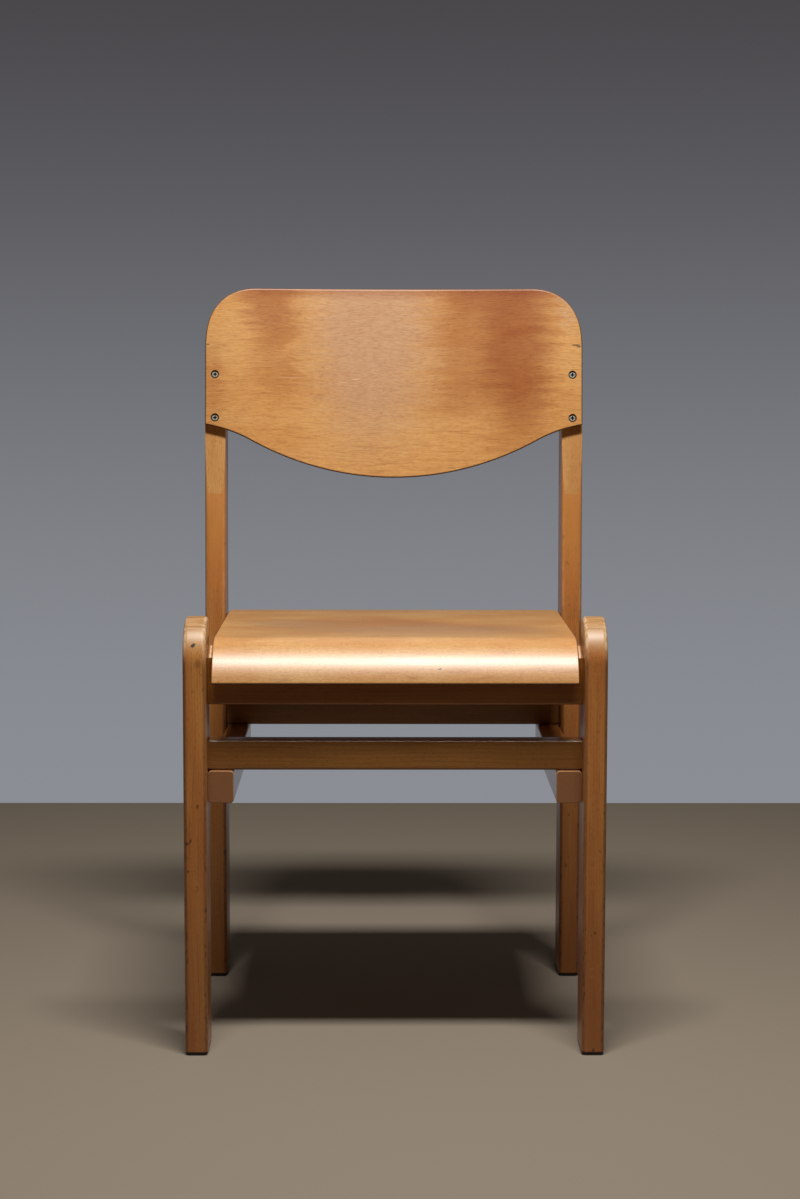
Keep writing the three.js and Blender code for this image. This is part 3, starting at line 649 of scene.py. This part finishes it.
# %% Seat veneer
seat_veneer = beech_veneer(
    "lacquered_beech_veneer_seat",
    tones=("#DEA359", "#E6B46B", "#AC6228", "#C07A42", "#B8906A"),
    fleck_mm=(0.8, 2.2),
    # The cloud in the middle of the seat is partly the veneer's tone, partly a painted darker
    # reflection.
    clouds=[(-25, -25, 62, 150, 0.4), (20, -40, 60, 90, 0.25), (-60, 120, 60, 60, 0.2)],
    lobes=[(-170, 40, 60, 30, 0.4), (-190, -120, 60, 40, 0.4)],
    # The sheen ovals are painted reflection on the seat's lacquer.
    painted_sheen=[(-85, 25, 75, 200, 0.5), (-20, -115, 55, 75, 0.4), (110, 0, 70, 260, 0.25)],
    marks=[
        (-197.2, 88.7, 1.3, 1.5, 0.95),
        (-206.9, 47.3, 1.0, 2.8, 0.95),
        (-206.3, 49, 1.5, 1.5, 0.9),
    ],
    pale_lines=[
        # A long pale line along the start of the lip's bend.
        (-151, -12, 1.3, 200, 0.35),
        (-100, 105, 2, 14, 0.5),
        (-118, 20, 2, 10, 0.4),
        (-60, -10, 3, 1.5, 0.8),
    ],
    coat_rough=0.4,
    shine=0.9,
)
# Eight millimetres in five layers.
seat_edge = plywood_edge(
    "beech_plywood_edge_seat", 8 / 5, ("#9C6434", "#B27A45"), ("#5E3416", "#744520")
)
print("seat:", seat_veneer.name, seat_edge.name)

# %% [markdown]
# The screws are zinc plated steel, a metal, so its colour is its reflection. Their recesses and the
# rings round their heads get a matt, dark material that paints the shade falling there. The glides
# are moulded polyethylene, black, matt and slightly rough from the floor. All three have an even,
# fine patchiness, so one helper starts them.

# %% Steel and plastic
SPANGLE, RECESS_SPECKLE, FLOOR_SCUFF = 900, 1500, 700  # per metre: patches of 1.1, 0.7 and 1.4 mm


def patched(name, per_metre, detail, rough, metallic=0.0):
    """A new material, the socket for its colour, and an even noise over it."""
    material, tree, shader = new_material(name)
    place = add(tree, "TexCoord", {}).outputs["Object"]
    noise = add(tree, "TexNoise", {"Vector": place, "Scale": per_metre, "Detail": detail})
    shader.inputs["Roughness"].default_value = rough
    shader.inputs["Metallic"].default_value = metallic
    return material, tree, shader.inputs["Base Color"], noise.outputs[0]


steel, tree, base_colour, patch = patched("zinc_plated_steel", SPANGLE, 2.0, 0.6, metallic=1.0)
tree.links.new(blend(tree, patch, "#A39C90", "#CCC5B8"), base_colour)

# Painted shade: a dark matt material for the screw recesses and the rings round the heads.
recess_painted_shade, tree, base_colour, recess_speckle = patched("painted_shade_in_recess", RECESS_SPECKLE, 2.0, 0.8)
tree.links.new(blend(tree, recess_speckle, "#14100D", "#2C2620"), base_colour)

black_plastic, tree, base_colour, scuff = patched(
    "moulded_polyethylene_black", FLOOR_SCUFF, 3.0, 0.55
)
tree.links.new(blend(tree, between(tree, scuff, 0.5, 0.8), "#141312", "#2E2B28"), base_colour)
print("small parts:", steel.name, recess_painted_shade.name, black_plastic.name)

# %% [markdown]
# A front leg is a beech board, 25 by 60 mm, stood on edge. Its top is cut to a big round at the
# front, and every long edge has been run over with a router. By hand that is a box with two
# bevelled corners, then a bevel round both broad faces. The foot is left nearly square.

# %% Front legs
ARRIS = 5 * MM
CROWN = 47 * MM
CROWN_BACK = 12 * MM
SANDED = 1.6 * MM


def is_leg_arris(floor):
    arris = is_arris(0)
    return lambda edge: arris(edge) and not all_lie(edge, 2, floor)


def ease_foot(leg, floor):
    """A foot edge is only broken with sandpaper."""
    round_edges(leg, lambda e: all_lie(e, 2, floor), SANDED, 3)


def front_leg(side):
    node = "front_leg_" + side
    low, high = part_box(node)
    leg = block(side + "_front_leg_board", low, high)
    round_edges(leg, lambda e: all_lie(e, 1, low.y) and all_lie(e, 2, high.z), CROWN, 24)
    round_edges(leg, lambda e: all_lie(e, 1, high.y) and all_lie(e, 2, high.z), CROWN_BACK, 8)
    round_edges(leg, is_leg_arris(low.z), ARRIS, 6)
    ease_foot(leg, low.z)
    finish(leg, node, "beech", leg_beech)


for side in SIDES:
    front_leg(side)

# %% [markdown]
# A rear leg goes on past the seat as the post that holds the backrest. It stands upright to a
# knee, bends back over a hand's width and tapers to a round top. It grows from a short box: the
# top face is extruded upwards again and again, moved and narrowed each time, so that the knee is a
# curve.

# %% Shape of a rear leg
KNEE = 325 * MM
KNEE_HALF = 55 * MM
FRONT_LEAN = math.tan(math.radians(3.8))
REAR_LEAN = math.tan(math.radians(2.6))
LEG_DEPTH = 60 * MM
POST_ROUND = 30 * MM
POST_LEVELS = (450 * MM, 560 * MM, 660 * MM)


def knee_curve(y, lean, steps=10):
    """Heights and depths along the bend at the knee, on a quadratic curve."""
    end = y + KNEE_HALF * lean
    for i in range(1, steps + 1):
        t = i / steps
        height = KNEE - KNEE_HALF + 2 * KNEE_HALF * t
        yield height, (1 - t) ** 2 * y + 2 * (1 - t) * t * y + t * t * end


def post_stations(front, back, top):
    """Front and back of the leg at each height where it is shaped."""
    bends = knee_curve(front, FRONT_LEAN), knee_curve(back, REAR_LEAN)
    for (height, y_front), (_, y_back) in zip(*bends):
        yield height, y_front, y_back
    for height in (*POST_LEVELS, top):
        yield height, front + (height - KNEE) * FRONT_LEAN, back + (height - KNEE) * REAR_LEAN


def grow_up(x, old, new):
    """Extrudes the picked top face to a new height, and fits it to its new front and back."""
    (old_z, old_front, old_back), (new_z, new_front, new_back) = old, new
    rise = (0, (new_front + new_back - old_front - old_back) / 2, new_z - old_z)
    bpy.ops.mesh.extrude_region_move(TRANSFORM_OT_translate={"value": rise})
    share = (new_back - new_front) / (old_back - old_front)
    middle = (x, (new_front + new_back) / 2, new_z)
    bpy.ops.transform.resize(value=(1, share, 1), center_override=middle)


# %% [markdown]
# Last, one sloping saw cut makes the flat that the backrest lies on. It leans back by 7 degrees,
# and the wood that it lays open is paler than the stained faces, so it gets a beech of its own.

# %% Rear legs
MILL_START = 594 * MM
BACK_LEAN = math.radians(7)
mill_line = Vector((0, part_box("rear_leg_left")[0].y + (MILL_START - KNEE) * FRONT_LEAN, MILL_START))
mill_normal = Vector((0, -math.cos(BACK_LEAN), math.sin(BACK_LEAN)))


def is_milled(face):
    return face.normal.dot(mill_normal) > 0.9998 and face.calc_center_median().z > MILL_START


def rear_leg(side):
    node = "rear_leg_" + side
    low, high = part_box(node)
    front, back = low.y, low.y + LEG_DEPTH
    start = (KNEE - KNEE_HALF, front, back)
    leg = block(side + "_rear_leg_post", low, (high.x, back, start[0]))
    pick(leg, "faces", lambda f: f.normal.z > 0.9)
    for station in post_stations(front, back, high.z):
        grow_up((low.x + high.x) / 2, start, station)
        start = station
    round_edges(leg, lambda e: all_lie(e, 1, start[2]) and all_lie(e, 2, high.z), POST_ROUND, 12)
    round_edges(leg, is_leg_arris(low.z), ARRIS, 6)
    ease_foot(leg, low.z)
    bpy.ops.mesh.select_all(action="SELECT")
    bpy.ops.mesh.bisect(plane_co=mill_line, plane_no=mill_normal, use_fill=True, clear_outer=True)
    pick(leg, "faces", is_milled)
    give_second_material(leg, leg_beech, milled_beech)
    finish(leg, node, "beech", leg_beech, milled_beech)


for side in SIDES:
    rear_leg(side)

# %% [markdown]
# Rails and stretchers are planed bars with softly rounded long edges, and ends that meet the legs
# square. A bar is a box with its four long edges bevelled, then a hairline chamfer round each end,
# which shows on the side stretchers because their sawn ends look forward.


# %% Rails and stretchers
def bar(name, node, along, radius, material, chamfer=0.8 * MM):
    low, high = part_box(node)
    piece = block(name, low, high)
    axis = "xyz".index(along)
    end = lambda e: all_lie(e, axis, low[axis]) or all_lie(e, axis, high[axis])
    round_edges(piece, lambda e: not end(e), radius, 5)
    round_edges(piece, end, chamfer, 2)
    finish(piece, node, "beech", material)


bar("front_stretcher_bar", "front_stretcher", "x", 3 * MM, stretcher_beech)
bar("rear_stretcher_bar", "rear_stretcher", "x", 3 * MM, stretcher_beech)
bar("rear_rail_bar", "rear_rail", "x", 2.5 * MM, cross_beech)
for side in SIDES:
    bar(side + "_side_rail_bar", "side_rail_" + side, "y", 2.5 * MM, side_beech)
    name = side + "_side_stretcher_bar"
    bar(name, "side_stretcher_" + side, "y", 4 * MM, side_beech, chamfer=SANDED)

# %% [markdown]
# The seat's front edge bends down over the front rail, round a radius of 58 mm. It stops a little
# short of upright, and its height tells by how much. The rail and the seat both need the centre of
# that bend, so it is worked out first.

# %% Bend of the seat lip
SEAT_BEND = 58 * MM
SEAT_PLY = 8 * MM
LIP_DROP = 44.5 * MM
lip_end = math.asin(1 - LIP_DROP / SEAT_BEND)
seat_low, seat_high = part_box("seat_panel")
bend_y, bend_z = seat_low.y + SEAT_BEND * math.cos(lip_end), seat_high.z - SEAT_BEND
print("centre of the bend in mm:", round(bend_y / MM, 1), round(bend_z / MM, 1))

# %% [markdown]
# The front rail stands inside the bent lip, so its upper front corner follows the inside of the
# bend. Twelve slicing cuts, each turned a little more, take that corner off as a plane would.
# Beside the seat this round is seen, and it gets its own pale beech, a painted highlight, up to a
# thin cut on each side, past which the rail is in the joint with a leg.

# %% Front rail
PLANED = [math.radians(92 + 5 * i) for i in range(12)]
CLEARANCE = 0.2 * MM
HIGHLIGHT_HALF = 201.8 * MM
rail_low, rail_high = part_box("front_rail")
rail = block("front_rail_bar", rail_low, (rail_high.x, rail_high.y, seat_high.z))
for angle in PLANED:
    outwards = Vector((0, math.cos(angle), math.sin(angle)))
    slice_place = Vector((0, bend_y, bend_z)) + (SEAT_BEND - SEAT_PLY - CLEARANCE) * outwards
    pick(rail, "faces", everything)
    bpy.ops.mesh.bisect(plane_co=slice_place, plane_no=outwards, use_fill=True, clear_outer=True)


def is_painted_highlight(face):
    """On the planed corner, between the two joints."""
    forward_and_up = face.normal.y < -0.15 and face.normal.z > 0.1
    return forward_and_up and abs(face.calc_center_median().x) < HIGHLIGHT_HALF


round_edges(rail, lambda e: all_lie(e, 2, rail_low.z) and not is_arris(0)(e), 2.5 * MM, 4)
for sign in SIDES.values():
    pick(rail, "faces", everything)
    bpy.ops.mesh.bisect(plane_co=(sign * HIGHLIGHT_HALF, 0, 0), plane_no=(1, 0, 0))
# The planed corner's faces between the joints get the painted highlight beech.
highlight_faces = pick(rail, "faces", is_painted_highlight)
give_second_material(rail, cross_beech, rail_corner_highlight_beech)
finish(rail, "front_rail", "beech", cross_beech, rail_corner_highlight_beech)
print("worn faces of the front rail:", highlight_faces)

# %% [markdown]
# A plywood panel is sawn flat, eased along its edges and pressed to shape with steam and glue. The
# model goes the same way, because each step is then easy: the outline is one flat face, the bevel
# meets no other edges, and parallel cuts divide the sheet so that it can bend. Before the
# pressing, every point writes down its place on the sheet, which the veneer pattern reads later.


# %% Helpers for pressed panels
def flat_panel(name, outline, thickness, ease):
    """A sheet with that outline in X and Y, its face at Z 0 and its back below, edges eased."""
    deselect_all()
    bpy.ops.mesh.primitive_circle_add(vertices=len(outline), fill_type="NGON")
    panel = bpy.context.object
    panel.name = panel.data.name = name
    pick(panel, "faces", everything)
    shape = bmesh.from_edit_mesh(panel.data)
    ring = list(shape.faces)[0]
    if ring.normal.z < 0:
        ring.normal_flip()
    for loop, (x, y) in zip(ring.loops, outline):
        loop.vert.co = (x, y, 0)
    bmesh.update_edit_mesh(panel.data)
    bpy.ops.mesh.extrude_region_move(TRANSFORM_OT_translate={"value": (0, 0, -thickness)})
    bpy.ops.mesh.select_all(action="SELECT")
    bpy.ops.mesh.normals_make_consistent(inside=False)
    round_edges(panel, is_arris(2), ease, 3)
    return panel


def divide(panel, axis, stations):
    """Cuts the sheet across at each station, so that it can bend there."""
    normal = Vector((0, 0, 0))
    normal[axis] = 1
    for station in stations:
        bpy.ops.mesh.select_all(action="SELECT")
        bpy.ops.mesh.bisect(plane_co=normal * station, plane_no=normal)


def press(panel, mould):
    """Marks the edge faces, notes each point's place on the sheet, and bends the sheet."""
    bpy.ops.object.mode_set(mode="OBJECT")
    mesh = panel.data
    for face in mesh.polygons:
        face.material_index = 0 if abs(face.normal.z) > 0.9 else 1
    noted = mesh.attributes.new("sheet_place", "FLOAT_VECTOR", "POINT")
    for vert in mesh.vertices:
        noted.data[vert.index].vector = (vert.co.x, vert.co.y, -vert.co.z)
        vert.co = mould(vert.co)


# %% [markdown]
# The seat is 8 mm thick. On the flat sheet it is longer by the arc of its bent lip. The mould
# leaves the rear part flat and rolls the rest round the centre of the bend.

# %% Seat
SEAT_CORNER = 9 * MM
SEAT_EASE = 1.6 * MM
LIP_ARC = SEAT_BEND * (math.pi / 2 - lip_end)
LIP_CUTS = 30


def seat_outline():
    half, rear = seat_high.x, seat_high.y
    front = bend_y - LIP_ARC
    outline = [(half, front)]
    for sign, start in ((1, 0), (-1, 90)):
        for i in range(7):
            angle = math.radians(start + 15 * i)
            x = sign * (half - SEAT_CORNER) + SEAT_CORNER * math.cos(angle)
            outline.append((x, rear - SEAT_CORNER + SEAT_CORNER * math.sin(angle)))
    return outline + [(-half, front)]


def seat_mould(point):
    x, y, z = point
    if y >= bend_y:
        return x, y, seat_high.z + z
    angle = (bend_y - y) / SEAT_BEND
    reach = SEAT_BEND + z
    return x, bend_y - reach * math.sin(angle), bend_z + reach * math.cos(angle)


seat = flat_panel("seat_pressed_sheet", seat_outline(), SEAT_PLY, SEAT_EASE)
divide(seat, 1, [bend_y - LIP_ARC * i / LIP_CUTS for i in range(LIP_CUTS)])
press(seat, seat_mould)
finish(seat, "seat_panel", "seat_veneer", seat_veneer, seat_edge)

# %% [markdown]
# The backrest's lower edge swings down in the middle like a belly, its upper corners are wide and
# soft, more square than an ellipse, and its top rises a hair in the middle. All of it is drawn for
# the right half, in heights above the start of the sloping flat, and then mirrored.

# %% Outline of the backrest
back_low, back_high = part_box("backrest_panel")
HALF = (back_high.x - back_low.x) / 2
BACK_RISE = 20.5 * MM
SIDE_RISE = 63 * MM
BACK_TOP = 250.5 * MM
TOP_CROWN = 1.8 * MM
CORNER_WIDTH, CORNER_HEIGHT, CORNER_POWER = 68.5 * MM, 75.5 * MM, 2.5
BELLY, HIP = 1.602 * HALF, 0.722 * HALF
BELLY_ANGLE, SIDE_SLOPE = math.radians(28.5), math.radians(13)
BELLY_STEPS, HIP_STEPS, CORNER_STEPS, TOP_STEPS = 36, 12, 24, 12


def lower_edge():
    """Points from the middle of the lower edge to the side, belly, hollow and slope."""
    hip_x = (BELLY + HIP) * math.sin(BELLY_ANGLE)
    hip_z = BELLY - (BELLY + HIP) * math.cos(BELLY_ANGLE)
    points = []
    for i in range(BELLY_STEPS + 1):
        angle = BELLY_ANGLE * i / BELLY_STEPS
        points.append((BELLY * math.sin(angle), BELLY - BELLY * math.cos(angle)))
    for i in range(1, HIP_STEPS + 1):
        angle = BELLY_ANGLE + (SIDE_SLOPE - BELLY_ANGLE) * i / HIP_STEPS
        points.append((hip_x - HIP * math.sin(angle), hip_z + HIP * math.cos(angle)))
    end_x, end_z = points[-1]
    side_z = end_z + (HALF - end_x) * math.tan(SIDE_SLOPE)
    points.append((HALF, side_z))
    return [(x, BACK_RISE + z * SIDE_RISE / side_z) for x, z in points]


def upper_edge():
    """Points from the side, round the corner, to the middle of the top."""
    points = []
    for i in range(CORNER_STEPS + 1):
        angle = math.pi / 2 * i / CORNER_STEPS
        across = math.cos(angle) ** (2 / CORNER_POWER)
        up = math.sin(angle) ** (2 / CORNER_POWER)
        x = HALF - CORNER_WIDTH * (1 - across)
        points.append((x, BACK_TOP - TOP_CROWN - CORNER_HEIGHT * (1 - up)))
    top_half = HALF - CORNER_WIDTH
    for i in range(1, TOP_STEPS + 1):
        share = 1 - i / TOP_STEPS
        points.append((top_half * share, BACK_TOP - TOP_CROWN * share * share))
    return points


def back_outline():
    right = lower_edge() + upper_edge()
    left = [(-x, z) for x, z in reversed(right[1:-1])]
    return right + left


print("backrest outline:", len(back_outline()), "points")

# %% [markdown]
# The backrest is 9 mm thick, hollow from side to side and flat only where it is screwed on. Across
# the sheet the mould adds depth only: nothing at the sides, 20 mm in the middle. A tight bend near
# each flat leads over to the wide one.

# %% Mould of the backrest
BACK_PLY = 9 * MM
BACK_GAP = 0.3 * MM
SAG, FLAT_X, TURN_RADIUS = 20 * MM, 191 * MM, 150 * MM
turn = 2 * math.atan(SAG / FLAT_X)
hollow_radius = FLAT_X / math.sin(turn) - TURN_RADIUS
turn_end = FLAT_X - TURN_RADIUS * math.sin(turn)


def hollow(x):
    """How far the sheet lies behind its flat sides."""
    if abs(x) >= FLAT_X:
        return 0.0
    if abs(x) >= turn_end:
        return TURN_RADIUS - math.sqrt(TURN_RADIUS**2 - (FLAT_X - abs(x)) ** 2)
    return SAG - hollow_radius + math.sqrt(hollow_radius**2 - x * x)


def leaning(x, out, up):
    """A place given from the saw line, out and up along the sloping flat of the rear legs."""
    y = mill_line.y + out * math.cos(BACK_LEAN) + up * math.sin(BACK_LEAN)
    return Vector((x, y, mill_line.z - out * math.sin(BACK_LEAN) + up * math.cos(BACK_LEAN)))


def back_mould(point):
    """The sheet is drawn lying down: its height becomes the height of the standing panel."""
    x, height, depth = point
    return leaning(x, -BACK_GAP - BACK_PLY + hollow(x) - depth, height)


print("radius of the hollow in mm:", round(hollow_radius / MM))

# %% [markdown]
# Four screws go through the sheet, two to each post. Their heads are sunk 4 mm deep in wide
# counterbores. The holes are drilled before the pressing, while their axes are still square to the
# sheet, and so they come out square to the flats as well.

# %% Backrest
SCREW_X = 216.5 * MM
SCREW_HEIGHTS = {"lower": 91.5 * MM, "upper": 144 * MM}
SINK = 4.2 * MM
HOLES = ((5 * MM, SINK), (2.5 * MM, 20 * MM))
DRILL_ABOVE = 10 * MM
BACK_EASE = 2 * MM


def drill_backrest(panel):
    for sign in SIDES.values():
        for height in SCREW_HEIGHTS.values():
            for radius, depth in HOLES:
                deselect_all()
                place = (sign * SCREW_X, height, (DRILL_ABOVE - depth) / 2)
                length = DRILL_ABOVE + depth
                bpy.ops.mesh.primitive_cylinder_add(
                    vertices=48, radius=radius, depth=length, location=place
                )
                apply_place()
                cut_with(panel, bpy.context.object)


backrest = flat_panel("backrest_pressed_sheet", back_outline(), BACK_PLY, BACK_EASE)
drill_backrest(backrest)
pick(backrest, "faces", everything)
divide(backrest, 0, [7 * i * MM for i in range(-32, 33)])
press(backrest, back_mould)
finish(backrest, "backrest_panel", "back_veneer", back_veneer, back_edge)

# %% [markdown]
# One screw is modelled and copied to its four places. Its head is a low dome with a cross recess,
# cut by two small blades and a middle post that narrow towards their tips. The faces of the recess
# and of the ring between the head and its hole get a dark material of their own, a painted shade.

# %% One screw
HEAD_RADIUS, HEAD_HEIGHT, DOME = 4.25 * MM, 2.4 * MM, 1.1 * MM
SHANK_RADIUS, SHANK, TIP = 2.15 * MM, 29 * MM, 4.8 * MM
BLADES = ((5.2 * MM, 1.4 * MM), (1.4 * MM, 5.2 * MM), (2.8 * MM, 2.8 * MM))
BLADE_LOW, BLADE_HIGH = -0.9 * MM, 2 * MM
RECESS_RADIUS, RECESS_LOW, RECESS_HIGH = 2.9 * MM, -1.1 * MM, 1.15 * MM
SHADED_RIM_RADIUS = 3.75 * MM


def looks_down(face):
    return face.normal.z < -0.9


def turned_screw(name):
    """Head, shank and point, along Z, with the middle of the head at the origin."""
    deselect_all()
    bpy.ops.mesh.primitive_cylinder_add(vertices=40, radius=HEAD_RADIUS, depth=HEAD_HEIGHT)
    piece = bpy.context.object
    piece.name = piece.data.name = name
    top = HEAD_HEIGHT / 2
    round_edges(piece, lambda e: all_lie(e, 2, top) and is_arris(2)(e), DOME, 5)
    pick(piece, "faces", looks_down)
    bpy.ops.mesh.inset(thickness=HEAD_RADIUS - SHANK_RADIUS)
    for length in (SHANK, TIP):
        bpy.ops.mesh.extrude_region_move(TRANSFORM_OT_translate={"value": (0, 0, -length)})
    bpy.ops.transform.resize(value=(0.1, 0.1, 1), center_override=(0, 0, -top - SHANK - TIP))
    return piece


def cut_recess(piece):
    for long, wide in BLADES:
        low, high = (-long / 2, -wide / 2, BLADE_LOW), (long / 2, wide / 2, BLADE_HIGH)
        blade = block("blade", low, high)
        pick(blade, "faces", looks_down)
        bpy.ops.transform.resize(value=(0.7, 0.7, 1), center_override=(0, 0, 0))
        bpy.ops.object.mode_set(mode="OBJECT")
        cut_with(piece, blade)


def shade_recess_and_rim(piece):
    """Gives the recess and the rim of the head to the second material."""
    # Both kinds of faces get the dark material, which paints the shade there.
    for face in piece.data.polygons:
        out, up = face.center.xy.length, face.center.z
        recess = out < RECESS_RADIUS and RECESS_LOW < up < RECESS_HIGH
        face.material_index = 1 if recess or out > SHADED_RIM_RADIUS else 0


pattern_screw = turned_screw("backrest_screw_pattern")
cut_recess(pattern_screw)
shade_recess_and_rim(pattern_screw)
select_only(pattern_screw)
pattern_screw.rotation_euler.x = math.pi / 2
pattern_screw.location.y = -HEAD_HEIGHT / 2
apply_place()
print("screw:", [round(v / MM, 1) for v in pattern_screw.dimensions], "mm")

# %% [markdown]
# The pattern now points backwards, with the underside of its head at the origin. Each copy is
# turned to the lean of the posts and set on the floor of its counterbore.

# %% Backrest screws
for side, sign in SIDES.items():
    for row, height in SCREW_HEIGHTS.items():
        piece = pattern_screw.copy()
        piece.data = pattern_screw.data.copy()
        bpy.context.scene.collection.objects.link(piece)
        piece.name = piece.data.name = f"{side}_{row}_backrest_screw"
        select_only(piece)
        piece.rotation_euler.x = -BACK_LEAN
        piece.location = leaning(sign * SCREW_X, SINK - BACK_GAP - BACK_PLY, height)
        apply_place()
        finish(piece, f"backrest_screw_{side}_{row}", "steel", steel, recess_painted_shade)
bpy.data.objects.remove(pattern_screw)

# %% [markdown]
# A glide is a thin moulded pad under each foot. It has round corners and a small bevel all round
# its sole, worn in by the floor.

# %% Glides
for node in sorted(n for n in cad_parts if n.startswith("glide")):
    low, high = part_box(node)
    pad = block("moulded_" + node, low, high)
    upright = lambda e: not lies(e.verts[0].co.z, e.verts[1].co.z)
    round_edges(pad, upright, 4 * MM, 6)
    round_edges(pad, lambda e: all_lie(e, 2, low.z) and is_arris(2)(e), 0.6 * MM, 2)
    finish(pad, node, "black_plastic", black_plastic)

# %% [markdown]
# What stays hidden inside the joints keeps its CAD shape and gets its real finish: raw beech
# dowels, beech corner blocks, and the screws that hold the seat from below.

# %% Hidden pieces
HIDDEN = {"dowel": dowel_beech, "corner_block": cross_beech, "seat_screw": steel}
for start, material in HIDDEN.items():
    kept = [piece for name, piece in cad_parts.items() if name.startswith(start)]
    for piece in kept:
        piece.material_slots[0].material = material
    print(start, len(kept), material.name)

# %% [markdown]
# The chair stands on a plain pale floor, which is stage and not a piece of the part.

# %% Floor
deselect_all()
bpy.ops.mesh.primitive_plane_add(size=1)
floor = bpy.context.object
floor.name = "floor"
floor.scale = (6.4, 4.45, 1)
floor.location = (0, -0.975, 0)
apply_place()
pale_floor, tree, shader = new_material("pale_floor")
shader.inputs["Base Color"].default_value = linear("#968876")
shader.inputs["Roughness"].default_value = 0.8
floor.data.materials.append(pale_floor)
floor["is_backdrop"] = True
print("floor in m:", [round(v, 2) for v in floor.dimensions])

# %% [markdown]
# One soft lamp, a metre wide and narrow from front to back, hangs high in front of the chair. The
# short shadows on the floor give its place, and so does the bright band along the seat's lip.

# %% Lamp
LAMP_PLACE, LAMP_AIM = Vector((0.08, -0.8, 2.2)), Vector((0.08, -0.05, 0.4))
bpy.ops.object.light_add(type="AREA", location=LAMP_PLACE)
lamp = bpy.context.object
lamp.name = lamp.data.name = "key_softbox"
lamp.rotation_euler = (LAMP_AIM - LAMP_PLACE).to_track_quat("-Z", "Y").to_euler()
lamp.data.shape = "RECTANGLE"
lamp.data.size, lamp.data.size_y = 0.94, 0.22
lamp.data.energy = 44
print("lamp:", lamp.data.energy, "W,", round((LAMP_AIM - LAMP_PLACE).length, 2), "m away")

# %% [markdown]
# Behind the chair is a lit grey wall that falls off upwards. The room on the camera's side is
# dark, because lacquer is a mirror: whatever the lamp doesn't reach then stays deep and warm.

# %% Room
world = bpy.data.worlds.new("dim_studio")
world.use_nodes = True
tree = world.node_tree
direction = add(tree, "TexCoord", {}).outputs["Generated"]
towards = add(tree, "SeparateXYZ", {0: direction}).outputs
wall = blend(tree, between(tree, towards["Z"], -0.2, 0.19), "#8B8E94", "#464346")
around = blend(tree, between(tree, towards["Y"], -0.15, 0.55), "#1E1C1B", wall)
room = blend(tree, between(tree, towards["Z"], 0.3, 0.9), around, "#4A4743")
tree.links.new(room, tree.nodes["Background"].inputs["Color"])
bpy.context.scene.world = world
print("room:", world.name)

# %% [markdown]
# The camera stands 2.5 m in front of the chair, as high as its backrest, and looks slightly down,
# through a 70 mm lens on an upright full frame. Its place was fitted to the chair's own edges. The
# Standard view shows a hex colour as it was written, where the default view would wash it out.

# %% Camera
PITCH, YAW, ROLL = math.radians(5.959), math.radians(0.52), math.radians(0.112)
FOCAL_PIXELS, FRAME_PIXELS = 2350, 1199
bpy.ops.object.camera_add(location=(-0.0180, -2.7063, 0.7624))
camera = bpy.context.object
level = math.cos(PITCH)
ahead = Vector((math.sin(YAW) * level, math.cos(YAW) * level, -math.sin(PITCH)))
unrolled = ahead.to_track_quat("-Z", "Y")
camera.rotation_euler = (unrolled @ Quaternion((0, 0, 1), ROLL)).to_euler()
camera.data.sensor_fit = "VERTICAL"
camera.data.sensor_height = 36
camera.data.lens = camera.data.sensor_height * FOCAL_PIXELS / FRAME_PIXELS
bpy.context.scene.camera = camera
bpy.context.scene.view_settings.view_transform = "Standard"
print("lens in mm:", round(camera.data.lens, 1))

# %% [markdown]
# The boxes of the CAD model and of what is seen are put side by side, so that a slip in scale or
# place shows. They have to agree.

# %% The sizes side by side, and finish
boxes = {"cad": cad_box, "visual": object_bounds()}
{k: [list(corner) for corner in box] for k, box in boxes.items()}
